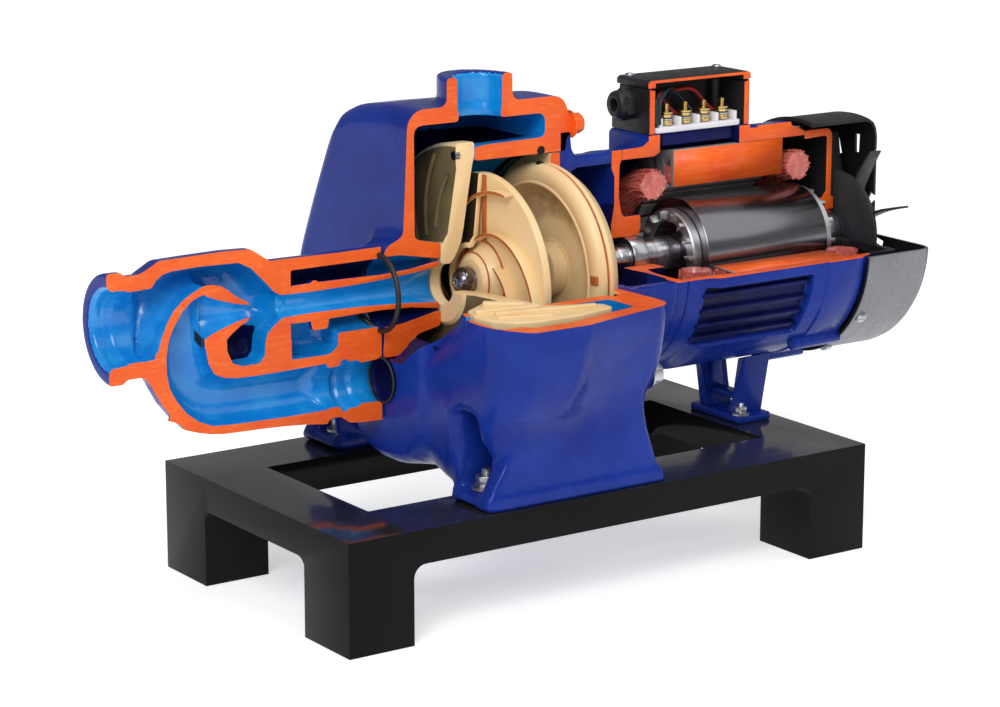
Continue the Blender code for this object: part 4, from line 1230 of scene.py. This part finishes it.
frame_body = lathe("motor_casting", [
    (307.3, 71.4), (307.3, 78.2), (307.8, 78.8), (320, 79), (326, 79.6), (331, 83), (334, 83.8), (430, 83.8), (431.5, 85.2), (462, 85.2), (463, 84.6), (463.6, 82.4), (470, 80.2), (475.4, 77.6), (476, 76.8), (476, MI), (341, MI), (336, 71.4),
], [BLUE, ORANGE, BLUE_PAINTED_SHADE], 160)
seat_block = across("seat", rounded([(-48, 60), (48, 60), (48, 83.5), (45, 86.5), (-45, 86.5), (-48, 83.5)], 1.5), 331, 424, [BLUE])
boolean(frame_body, seat_block, "UNION", solver="EXACT")
for x0, x1 in ((423, 466),):
    for a in (262, 278, 232, 308):
        u, v = (-cos(radians(a)), sin(radians(a))), (sin(radians(a)), cos(radians(a)))
        pts = [(u[0] * r + v[0] * w, u[1] * r + v[1] * w) for r, w in ((80, -5), (89, -4), (90.4, -2), (90.4, 2), (89, 4), (80, 5))]
        boolean(frame_body, across("lug", pts, x0, x1, [BLUE]), "UNION", solver="EXACT")
boolean(frame_body, lathe("tool", [(300, 0), (300, 71.4), (336, 71.4), (341, MI), (500, MI), (500, 0)], steps=160))
boolean(frame_body, block("tool", 341, 414, -30, 30, 60, 95))


def sector(r0, r1, a0, a1, x0, x1, steps=14, mats=None):
    pts = [(-r0 * cos(radians(a0 + (a1 - a0) * i / steps)), r0 * sin(radians(a0 + (a1 - a0) * i / steps))) for i in range(steps + 1)]
    pts += [(-r1 * cos(radians(a1 - (a1 - a0) * i / steps)), r1 * sin(radians(a1 - (a1 - a0) * i / steps))) for i in range(steps + 1)]
    return across("sector", pts, x0, x1, mats)


PANELS = ((-43, -7), (188, 221), (143, 176))
for a0, a1 in PANELS:
    cutter = sector(77.0, 96, a0, a1, 333 if a0 > 0 else 322, 418)
    bevelled(cutter, 2.2, 3)
    boolean(frame_body, cutter)
open_quarter(frame_body)
# the inside of the frame gets the darker blue as painted shade
paint_where(frame_body, lambda c, n: np.where(on_plane(c, n, 1, 0.0, 0.02) | on_plane(c, n, 2, CUT_Z, 0.02), 1, np.where(np.hypot(c[:, 1], c[:, 2]) < 77.6, 2, 0)))
bevelled(frame_body, 0.5, 2)
parts = [frame_body]
for a0, a1 in PANELS:
    for k in range(4):
        mid = a0 + (a1 - a0) * (k + 0.5) / 4
        # the inner ribs are in the darker blue as painted shade
        rib = sector(76.0, 80.8, mid - 1.2, mid + 1.2, 333 if a0 > 0 else 321, 419, 2, [BLUE_PAINTED_SHADE])
        bevelled(rib, 0.9, 3)
        parts.append(rib)
mount(merged("motor_frame_look", parts), STILL, "casing_blue", "motor_frame")

core = lathe("core", [(354, 47.2), (354, 73.7), (455, 73.7), (455, 47.2)], [CORE, ORANGE, BORE_PAINTED_LIGHT], 144)
for k in range(24):
    a = 360 * (k + 0.5) / 24
    u, v = (-cos(radians(a)), sin(radians(a))), (sin(radians(a)), cos(radians(a)))
    pts = [(u[0] * r + v[0] * w, u[1] * r + v[1] * w) for r, w in ((45, -1.1), (48.6, -1.1), (49.6, -3.1), (62, -4.0), (64, -2.4), (64, 2.4), (62, 4.0), (49.6, 3.1), (48.6, 1.1), (45, 1.1))]
    if 4 < a < 86:
        continue
    boolean(core, across("slot", pts, 350, 460))
open_quarter(core)
# the bore gets the lighter sheet colour as painted light
paint_where(core, lambda c, n: np.where(on_plane(c, n, 1, 0.0, 0.02) | on_plane(c, n, 2, CUT_Z, 0.02), 1, np.where(np.hypot(c[:, 1], c[:, 2]) < 47.8, 2, 0)))
mount(core, STILL, "core_steel", "stator_core")
wedges = []
for k in range(24):
    a = 360 * (k + 0.5) / 24
    if 0 < a < 90:
        continue
    u, v = (-cos(radians(a)), sin(radians(a))), (sin(radians(a)), cos(radians(a)))
    if u[0] * 64 < -0.5 and v[1] * 0 + u[1] * 64 > CUT_Z - 1:
        continue
    pts = [(u[0] * r + v[0] * w, u[1] * r + v[1] * w) for r, w in ((48.9, -1.0), (50.2, -2.6), (62, -3.4), (62, 3.4), (50.2, 2.6), (48.9, 1.0))]
    w = across("wedge", pts, 353.8, 455.2, [WIRE])
    wedges.append(w)
mount(merged("slot_wires", wedges), STILL, "winding_red")


def winding(name, x, middle, deep, wide, node):
    """An end winding: a packed ring with strands along it."""
    spin = np.random.default_rng(int(x))
    steps, around = 132, 26
    verts, faces = [], []
    angles = [85.0 - 8 + (275 + 16) * i / steps for i in range(steps + 1)]
    for a in angles:
        lump = 0.5 * sin(radians(a) * 24) + 0.35 * sin(radians(a) * 37 + 1)
        for k in range(around):
            t = 2 * pi * k / around
            wave = 1 + 0.045 * sin(7 * t + a / 9) + 0.03 * lump
            px = x + wide * 0.9 * wave * cos(t) * (1 - 0.12 * abs(sin(t)))
            r = middle + deep * 0.9 * wave * sin(t)
            verts.append((px, -r * cos(radians(a)), r * sin(radians(a))))
    for i in range(steps):
        for k in range(around):
            k2 = (k + 1) % around
            faces.append([i * around + k, i * around + k2, (i + 1) * around + k2, (i + 1) * around + k])
    faces += [list(range(around)), [steps * around + k for k in range(around - 1, -1, -1)]]
    body = outward(new_object(name, verts, faces, [WIRE], 70))
    parts = [body]
    for k in range(22):
        t = 2 * pi * k / 22 + spin.uniform(-0.1, 0.1)
        pts = []
        for i in range(46):
            a = 85.0 - 8 + (275 + 16) * i / 45
            tt = t + 0.25 * sin(a / 21 + k) + spin.uniform(-0.04, 0.04)
            px = x + wide * 0.93 * cos(tt)
            r = middle + deep * 0.93 * sin(tt)
            pts.append((px, -r * cos(radians(a)), r * sin(radians(a))))
        parts.append(tube("strand", pts, 0.75, WIRE, 6))
    strands = merged(name + "_strands", parts)
    mount(open_quarter_soft(strands), STILL, "winding_red", node)


def open_quarter_soft(obj):
    """Cuts a bundle of separate strands at the two planes and caps each end."""
    bm = bmesh.new()
    bm.from_mesh(obj.data)
    # a strand is kept whole on either side of the corner; faces inside the open quarter go
    for co, no in (((0, 0, 0), (0, 1, 0)), ((0, 0, (CUT_Z + AXIS_Z) / 1000), (0, 0, 1))):
        geom = bm.verts[:] + bm.edges[:] + bm.faces[:]
        bmesh.ops.bisect_plane(bm, geom=geom, dist=1e-7, plane_co=co, plane_no=no)
    gone = [f for f in bm.faces if f.calc_center_median().y < -1e-6 and f.calc_center_median().z > (CUT_Z + AXIS_Z) / 1000 + 1e-6]
    bmesh.ops.delete(bm, geom=gone, context="FACES")
    loose = [e for e in bm.edges if e.is_boundary]
    bmesh.ops.holes_fill(bm, edges=loose, sides=60)
    bmesh.ops.recalc_face_normals(bm, faces=bm.faces)
    bm.to_mesh(obj.data)
    bm.free()
    shade(obj, 45)
    return obj


winding("winding_front_look", 335.5, 50.5, 11.5, 12.5, "winding_front")
winding("winding_rear_look", 470.5, 52, 11.5, 12, "winding_rear")

# rotor: laminated skin, with end rings, fins and webs
rotor = lathe("rotor_body", [(356.6, 24), (356.6, 38.6), (357, 39), (467, 39), (467.5, 38.6), (467.5, 24)], [ROTOR_SKIN], 128)
parts = [rotor]
for x0, x1, r0, r1, out in ((349, 356.7, 22.6, 31.4, -1), (467.4, 474, 24, 36.6, 1)):
    parts.append(lathe("end_ring", [(x0, r0 + 0.8), (x0 + 0.8, r0), (x1 - 0.8, r0), (x1, r0 + 0.8), (x1, r1 - 0.9), (x1 - 0.9, r1), (x0 + 0.9, r1), (x0, r1 - 0.9)], [ALU], 96))
    for k in range(14):
        a = 2 * pi * k / 14
        u, v = (-cos(a), sin(a)), (sin(a), cos(a))
        pts = [(u[0] * r + v[0] * w, u[1] * r + v[1] * w) for r, w in ((r0 + 1.2, -1.2), (r1 - 1.6, -1.7), (r1 - 1.6, 1.7), (r0 + 1.2, 1.2))]
        fin = across("fin", pts, 345.4 if out < 0 else 473, 350 if out < 0 else 478.8, [ALU])
        parts.append(bevelled(fin, 0.4, 2))
    parts.append(lathe("web", [(353 if out < 0 else 460, 9.9), (353 if out < 0 else 460, 24.6), (358 if out < 0 else 466, 24.6), (358 if out < 0 else 466, 9.9)], [DARK_STEEL], 64))
mount(merged("rotor_look", parts), ROTOR, "bright_steel", "rotor_core")

shaft = lathe("shaft_body", [
    (176.3, 0), (176.3, 7.6), (176.8, 8), (206, 8), (207, 8.3), (290, 8.3), (291, 10.6), (294.4, 10.6), (295, 8.8), (301, 8.8), (302, 9.6), (322, 9.6), (323, 11.4), (333, 12.2), (350, 12.2), (352, 9.8),
    (484, 9.8), (485, 9.5), (505, 9.5), (506, 7), (517.6, 7), (519, 6), (519, 0),
], [STEEL], 64)
key = block("key", 240, 262, -1.6, 1.6, 7.2, 9.2, [DARK_STEEL])
mount(merged("shaft_look", [bevelled(shaft, 0.3, 2), bevelled(key, 0.3, 2)]), ROTOR, "bright_steel", "shaft")

for name, x, node in (("bearing_front_look", 309, "bearing_front"), ("bearing_rear_look", 488, "bearing_rear")):
    parts = [
        lathe("outer", [(x, 13.6), (x, 15.0), (x + 0.5, 15.3), (x + 12.5, 15.3), (x + 13, 15.0), (x + 13, 13.6), (x + 11, 13.2), (x + 2, 13.2)], [STEEL], 72),
        lathe("inner", [(x, 9.7), (x, 11.2), (x + 2, 11.6), (x + 11, 11.6), (x + 13, 11.2), (x + 13, 9.7)], [STEEL], 72),
        lathe("seal", [(x + 0.7, 11.2), (x + 0.7, 13.7), (x + 1.6, 13.7), (x + 1.6, 11.2)], [RUBBER], 72),
        lathe("seal", [(x + 11.4, 11.2), (x + 11.4, 13.7), (x + 12.3, 13.7), (x + 12.3, 11.2)], [RUBBER], 72),
    ]
    mount(merged(name, parts), STILL, "bright_steel", node)

rear = lathe("rear_shield_moulding", [
    (476.3, 71), (476.3, 76.4), (477, 77), (498.4, 77), (501.4, 75.6), (503, 72), (503, 26), (505.6, 24), (505.6, 15.6), (486, 15.6), (486, 23.4), (486.8, 24.2),
    (494, 25), (498, 30), (498, 70), (497, 71.6),
], [BLACK, ORANGE], 144)
for a in (20, 160, 200, 240, 300, 340):
    pts = [(-r * cos(radians(a + d)), r * sin(radians(a + d))) for r, d in ((40, -9), (62, -7), (62, 7), (40, 9))]
    cutter = across("vent", pts, 490, 510)
    boolean(rear, bevelled(cutter, 2, 3))
open_quarter(rear)
paint_where(rear, lambda c, n: np.where(on_plane(c, n, 1, 0.0, 0.02) & (c[:, 0] < 500) & (c[:, 2] > 0), 1, 0))
mount(bevelled(rear, 0.5, 2), STILL, "black_plastic", "rear_shield")
for k, a in enumerate((-30, -60, 240, 150, 200)):
    y, z = -80 * cos(radians(a)), 80 * sin(radians(a))
    mount(bolt_x("through_bolt_%d" % k, 476.4, y, z, 7, 5, 1, ZINC), STILL, "bright_steel")

# fan
parts = [lathe("hub", [
    (508.5, 9.8), (508.5, 43), (509.2, 44), (511.4, 44), (512, 43), (512, 21), (516, 19), (521.6, 17.6), (523, 16), (523, 7.4), (506.3, 7.4), (506.3, 9.8),
], [FAN_GREY], 96)]
for k in range(9):
    a = radians(20 + 360 * k / 9)
    u, v = Vector((-cos(a), sin(a))), Vector((sin(a), cos(a)))
    verts, faces = [], []
    rows = 7
    for i in range(rows):
        t = i / (rows - 1)
        r = 16 + 56 * t
        bend = 2.6 * sin(pi * t) + 1.0 * t
        thick = 1.5 - 0.7 * t
        x0, x1 = 509.2 + 1.0 * t, 522.8 - 2.2 * t * t
        for xx, w in ((x0, -thick), (x1, -thick), (x1, thick), (x0, thick)):
            p = u * r + v * (w + bend)
            verts.append((xx, p.x, p.y))
    for i in range(rows - 1):
        for j in range(4):
            j2 = (j + 1) % 4
            faces.append([i * 4 + j, i * 4 + j2, (i + 1) * 4 + j2, (i + 1) * 4 + j])
    faces += [[0, 1, 2, 3], [(rows - 1) * 4 + j for j in (3, 2, 1, 0)]]
    blade = outward(new_object("blade", verts, faces, [FAN_GREY], 40))
    parts.append(bevelled(blade, 0.45, 2))
mount(merged("fan_look", parts), ROTOR, "black_plastic", "fan")
mount(lathe("fan_clip", [(523.2, 7.1), (523.2, 9.8), (524.4, 9.8), (524.4, 7.1)], [STEEL], 32, start=15, sweep=330), ROTOR, "bright_steel")

# fan cover: pressed sheet with rows of slots in its end and a rolled front edge
CR = 87.3
cover = lathe("cover_sheet", [
    (466, 84.9), (466, 87.6), (467.6, 87.9), (470, 87.3), (518.5, 87.3), (522.4, 86.6), (526.2, 84), (528.8, 79.6), (530, 73), (530, 18.6), (529.2, 18), (528.2, 18.4), (528, 19),
    (528, 72.6), (527, 78.4), (525, 82.4), (521.8, 84.6), (518, 85.3), (470, 85.3),
], [GREY, COVER_INSIDE_SHADE, BLACK], 160)
for r0, r1, count in ((24, 33, 10), (56, 70, 18)):
    for k in range(count):
        a = 360 * (k + 0.5) / count
        half = 2.1 if r0 > 40 else 6
        if r0 > 40 and (a < 24 or a > 336):
            continue
        pts = [(-r * cos(radians(a + d)), r * sin(radians(a + d))) for r, d in ((r0, -half), (r0, 0), (r0, half), (r1, half), (r1, 0), (r1, -half))]
        boolean(cover, across("slot", pts, 524, 534))
for k in range(9):
    a = 112 + 13 * k
    pts = [(-r * cos(radians(a + d)), r * sin(radians(a + d))) for r, d in ((80, -1.6), (80, 1.6), (92, 1.6), (92, -1.6))]
    boolean(cover, across("slot", pts, 506, 515))
boolean(cover, block("cutter", 440, 560, -200, -20, CUT_Z, 200))


def cover_skin(c, n):
    # inner and inward-facing faces get near black, and the rear, upper and far faces get black: painted shade
    inward = (n[:, 1] * c[:, 1] + n[:, 2] * c[:, 2]) < -0.15 * np.hypot(c[:, 1], c[:, 2])
    return np.where(inward | (n[:, 0] < -0.7), 1, np.where((n[:, 0] > 0.45) | (c[:, 2] > 6) | (c[:, 1] > 40), 2, 0))


paint_where(cover, cover_skin)
mount(bevelled(cover, 0.3, 1), STILL, "cover_grey", "fan_cover")
for k, a in enumerate((-36, -68, 215, 148)):
    y, z = -CR * cos(radians(a)), CR * sin(radians(a))
    made = lathe_up("cover_screw_%d" % k, [(0, -0.4), (4.6, -0.4), (4.6, 0.8), (3.4, 2.2), (0, 2.5)], 0, 0, [ZINC], 32)
    slot_cut = block("tool", -5, 5, -0.5, 0.5, 1.4, 4)
    boolean(made, slot_cut)
    outwards = Vector((0, -cos(radians(a)), sin(radians(a))))
    turn = Vector((0, 0, 1)).rotation_difference(outwards).to_matrix().to_4x4()
    centre = at(474, y, z)
    made.data.transform(Matrix.Translation(centre) @ turn @ Matrix.Translation(-at(0, 0, 0)))
    mount(made, STILL, "bright_steel")

# ================================================================ terminal box
shell = across("box", [(0, 86.8), (45, 86.8), (45, 105), (42, 108), (37, 108), (36, 109), (36, 120), (0, 120)], 331, 423, [BLACK, ORANGE])
bevelled(shell, 1.6, 3)
boolean(shell, block("tool", 300, 450, -10, 0.02, 60, 140))
boolean(shell, block("tool", 336.4, 418, -5, 32, 80, 140))
boolean(shell, block("tool", 333.6, 420.6, -5, 33.6, 118.8, 140))
paint_where(shell, lambda c, n: np.where(on_plane(c, n, 1, 0.02, 0.02), 1, 0))
parts = [bevelled(shell, 0.5, 2)]
for x in (345, 377, 409):
    parts.append(bevelled(across("rib", [(36, 108), (44, 108.4), (38.5, 117), (36, 118)], x - 1.6, x + 1.6, [BLACK]), 0.7, 2))
for x in (342, 412):
    parts.append(lathe_up("screw_post", [(0, 88), (4, 88), (4, 118.4), (0, 118.4)], x, 27, [BLACK], 24))
mount(merged("terminal_box_look", parts), STILL, "black_plastic", "terminal_box")

lid = side("lid", rounded([(330, 120.3), (424, 120.3), (424, 124.4), (421.6, 126), (332.4, 126), (330, 124.4)], 0.8), 0.02, 38, [BLACK, ORANGE])
boolean(lid, block("tool", 337, 417, -2, 33, 110, 123.6))
paint_where(lid, lambda c, n: np.where(on_plane(c, n, 1, 0.02, 0.02), 1, 0))
bevelled(lid, 0.7, 2)
parts = [lid]
for x in (337, 417):
    s = lathe_up("lid_screw", [(0, 125), (3.6, 125), (3.6, 126.6), (2.6, 127.6), (0, 127.8)], x, 32, [ZINC], 32)
    boolean(s, block("tool", x - 4, x + 4, 31.6, 32.4, 126.8, 129))
    parts.append(s)
mount(merged("terminal_lid_look", parts), STILL, "black_plastic", "terminal_lid")

board = plan("board", rounded([(338, 2), (417, 2), (417, 30), (338, 30)], 3), 86.8, 91, [WHITE])
bevelled(board, 0.8, 3)
# the block under the board is in the darker blue as painted shade
parts = [board, bevelled(block("under", 346, 411, 4, 28, 77, 87.0, [BLUE_PAINTED_SHADE]), 1.2, 3)]
POSTS = (353, 370, 387, 404)
for k, x in enumerate((344.5, 361.5, 378.5, 395.5, 412.5)):
    parts.append(bevelled(block("fence", x - 1.4, x + 1.4, 3, 22, 90.6, 97.5, [WHITE]), 0.6, 2))
mount(merged("terminal_board_look", parts), STILL, "board_white", "terminal_board")
for k, x in enumerate(POSTS):
    pitch, profile, z = 1.0, [(0, 91.0)], 91.0
    while z < 106.4:
        profile += [(2.3, z), (1.9, z + 0.5)]
        z += pitch
    profile += [(1.6, 107), (0, 107)]
    parts = [lathe_up("stud", profile, x, 9, [BRASS], 24)]
    for z0, h, turn in ((91.4, 3.0, 0.2 + k), (97.2, 3.0, 0.6 + k)):
        r = 4.7
        nut = plan("nut", [(x + r * cos(turn + j * pi / 3), 9 + r * sin(turn + j * pi / 3)) for j in range(6)], z0, z0 + h, [BRASS])
        parts.append(bevelled(nut, 0.4, 2))
        parts.append(lathe_up("washer", [(2.4, z0 + h), (5.2, z0 + h), (5.2, z0 + h + 0.8), (2.4, z0 + h + 0.8)], x, 9, [BRASS], 32))
    # a crimped eye on each stud
    parts.append(lathe_up("eye", [(2.4, 95.4), (4.6, 95.4), (4.6, 96.4), (2.4, 96.4)], x, 9, [ZINC], 32))
    parts.append(bevelled(block("tag", x - 1.6, x + 1.6, 13, 18, 95.3, 97.4, [ZINC]), 0.3, 1))
    mount(merged("terminal_post_look_%d" % (k + 1), parts), STILL, "post_brass", "terminal_post_%d" % (k + 1))
leads = []
for k, (x, mat) in enumerate(zip(POSTS, (DARK_LEAD, RED_LEAD, DARK_LEAD, RED_LEAD))):
    leads.append(tube("lead", [(x, 17, 96.4), (x - 1, 21, 98), (x - 4, 25, 103), (x - 10 - 2 * k, 27, 110 + k), (347 + 3 * k, 27, 113 - k), (341 + k, 24 - k, 110), (340.4 + k, 20, 103 - k), (341 + k, 14 + k, 92)], 1.5, mat, 10))
for k in range(4):
    leads.append(tube("lead", [(340 + 1.3 * k, 3.4 + 2.6 * (k % 2), 93.5), (339.4 + 1.4 * k, 3.0 + 2.6 * (k % 2), 101), (340.2 + 1.8 * k, 4.0 + 2 * (k % 2), 110), (344 + 2.6 * k, 8, 113 + 0.9 * k), (352 + 4 * k, 17, 114.6 + 0.7 * k), (349 + 6 * k, 25, 109)], 1.6, DARK_LEAD if k != 1 else RED_LEAD, 10))
mount(merged("box_leads", leads), STILL, "black_plastic")

gland = lathe("gland", [
    (315.6, 4.6), (315.6, 8.4), (317, 9.8), (318.4, 10.2), (326, 10.6), (326, 5)], [BLACK], 48, y=22, z=107.5)
nut = across("gland_nut", [(22 + 12 * cos(pi / 6 + k * pi / 3), 107.5 + 12 * sin(pi / 6 + k * pi / 3)) for k in range(6)], 321, 329, [BLACK])
boolean(nut, lathe("bore", [(310, 0), (310, 5), (340, 5), (340, 0)], steps=32, y=22, z=107.5))
parts = [bevelled(gland, 0.3, 1), bevelled(nut, 0.8, 2), lathe("collar", [(328.6, 5), (328.6, 11.6), (330.9, 11.6), (330.9, 5)], [BLACK], 48, y=22, z=107.5)]
mount(merged("cable_gland_look", parts), STILL, "black_plastic", "cable_gland")

# ================================================================== motor foot
base = plan("base", rounded([(394, -30), (426, -30), (426, 30), (394, 30)], 5), -129.7, -124.6, [BLUE])
parts = [bevelled(base, 1.2, 3)]
for s in (-1, 1):
    leg_outline = [(s * 13, -125.4), (s * 21.4, -125.4), (s * 24, -112), (s * 30.6, -80), (s * 31.6, -74), (s * 23, -78), (s * 17.4, -108)]
    leg = across("leg", leg_outline, 398, 422, [BLUE])
    boolean(leg, lathe("tool", [(380, 0), (380, 84.4), (440, 84.4), (440, 0)], steps=120))
    parts.append(bevelled(leg, 2.4, 4))
    fin = side("fin", [(402, -125), (418, -125), (414, -86), (406, -86)], s * 18 - 1.5, s * 18 + 1.5, [BLUE])
    parts.append(bevelled(fin, 0.8, 2))
parts.append(bevelled(across("bar", [(-20, -116), (20, -116), (21, -111), (-21, -111)], 404, 416, [BLUE]), 1.2, 3))
mount(merged("motor_foot_look", parts), STILL, "casing_blue", "motor_foot")
for k, y in enumerate((-24, 24)):
    mount(bolt_z("motor_bolt_%d" % k, 400.5 + 19 * k, y, -124.4, 8, 5, stud=2), STILL, "bright_steel")

# ======================================================================= stand
SL, SW, DECK, FLOOR = 436.0, 122.5, 78 - AXIS_Z, -AXIS_Z


def beam(name, length, leg, z0, z1, fillet, place):
    under = z1 - 23.5
    outline = [(0, z0), (leg, z0)]
    outline += [(leg + fillet - fillet * cos(radians(a)), under - fillet + fillet * sin(radians(a))) for a in range(0, 91, 15)]
    outline += [(length - leg - fillet + fillet * sin(radians(a)), under - fillet + fillet * cos(radians(a))) for a in range(0, 91, 15)]
    outline += [(length - leg, z0), (length, z0), (length, z1), (0, z1)]
    return place(name, outline)


stand = beam("stand", SL, 50, FLOOR, DECK, 9, lambda n, o: side(n, o, -SW, -SW + 56, [LACQUER]))
boolean(stand, beam("tool", SL, 50, FLOOR, DECK, 9, lambda n, o: side(n, o, SW - 56, SW, [LACQUER])), "UNION")
for x0 in (0, SL - 50):
    end = beam("tool", 2 * SW, 55, FLOOR, DECK, 9, lambda n, o: across(n, [(a - SW, b) for a, b in o], x0, x0 + 50, [LACQUER]))
    boolean(stand, end, "UNION", solver="EXACT")
bm = bmesh.new()
bm.from_mesh(stand.data)
bmesh.ops.remove_doubles(bm, verts=bm.verts, dist=2e-5)
bmesh.ops.dissolve_limit(bm, angle_limit=radians(1), verts=bm.verts, edges=bm.edges)
bm.to_mesh(stand.data)
bm.free()
bevelled(stand, 3.2, 4, 30)
# upward faces get the lightened top lacquer: painted light
stand.data.materials.append(TOP_LACQUER_PAINTED_LIGHT)
top_slot = len(stand.data.materials) - 1
slots = np.zeros(len(stand.data.polygons), np.int32)
stand.data.polygons.foreach_get("material_index", slots)
paint_where(stand, lambda c, n: np.where((n[:, 2] > 0.95) & (c[:, 2] > -132), top_slot, slots))
mount(stand, STILL, "stand_black", *("stand_front_rail stand_rear_rail stand_left_rail stand_right_rail leg_front_left leg_front_right leg_rear_left leg_rear_right".split()))

# ======================================================== floor, light, camera
floor_data = bpy.data.meshes.new("floor")
ring_points = [(9 * cos(2 * pi * k / 64), 9 * sin(2 * pi * k / 64), -0.0004) for k in range(64)]
floor_data.from_pydata(ring_points, [], [list(range(64))])
floor = bpy.data.objects.new("floor", floor_data)
bpy.context.scene.collection.objects.link(floor)
n = Nodes("floor_white")
n.link(n.mix(n.span(n.noise(3.0, 3.0), 0.3, 0.7), (0.93, 0.93, 0.93), (0.90, 0.90, 0.905)), n.shader.inputs["Base Color"])
n.set(Roughness=0.8, Emission_Strength=0.52)
n.shader.inputs["Emission Color"].default_value = (1, 1, 1, 1)
n.bump((n.noise(200.0, 2.0), 0.02, 0.0005),)
floor_data.materials.append(n.mat)

world = bpy.data.worlds.new("studio")
world.use_nodes = True
world.node_tree.nodes["Background"].inputs["Color"].default_value = (0.97, 0.985, 1.0, 1)
world.node_tree.nodes["Background"].inputs["Strength"].default_value = 0.26
bpy.context.scene.world = world


def sun(name, towards, strength, angle, colour=(1, 1, 1)):
    data = bpy.data.lights.new(name, "SUN")
    data.energy, data.angle, data.color = strength, radians(angle), colour
    made = bpy.data.objects.new(name, data)
    made.rotation_euler = Vector(towards).to_track_quat("-Z", "Y").to_euler()
    bpy.context.scene.collection.objects.link(made)


def softbox(name, place, target, size, power, colour=(1, 1, 1)):
    data = bpy.data.lights.new(name, "AREA")
    data.shape, data.size, data.size_y, data.energy, data.color = "RECTANGLE", size[0], size[1], power, colour
    made = bpy.data.objects.new(name, data)
    made.location = place
    made.rotation_euler = (Vector(target) - Vector(place)).to_track_quat("-Z", "Y").to_euler()
    bpy.context.scene.collection.objects.link(made)


sun("key", (0.72, 0.85, -0.85), 1.45, 30)
sun("fill", (-0.9, 0.6, -0.9), 0.45, 50)
softbox("left_box", (-1.3, -0.9, 1.0), (0, 0, 0.2), (0.5, 0.9), 5)
softbox("top_box", (0.1, -0.2, 1.5), (0, 0, 0.2), (1.0, 0.5), 5)

camera_data = bpy.data.cameras.new("camera")
camera_data.lens, camera_data.sensor_width, camera_data.sensor_fit = 108.94, 36.0, "HORIZONTAL"
camera_data.clip_start, camera_data.clip_end = 0.05, 50
camera = bpy.data.objects.new("camera", camera_data)
camera.location = (-1.1826, -1.7039, 0.643)
camera.rotation_euler = Vector((0.5512, 0.8018, -0.2310)).to_track_quat("-Z", "Y").to_euler()
bpy.context.scene.collection.objects.link(camera)
bpy.context.scene.camera = camera
bpy.context.scene.view_settings.view_transform = "Standard"
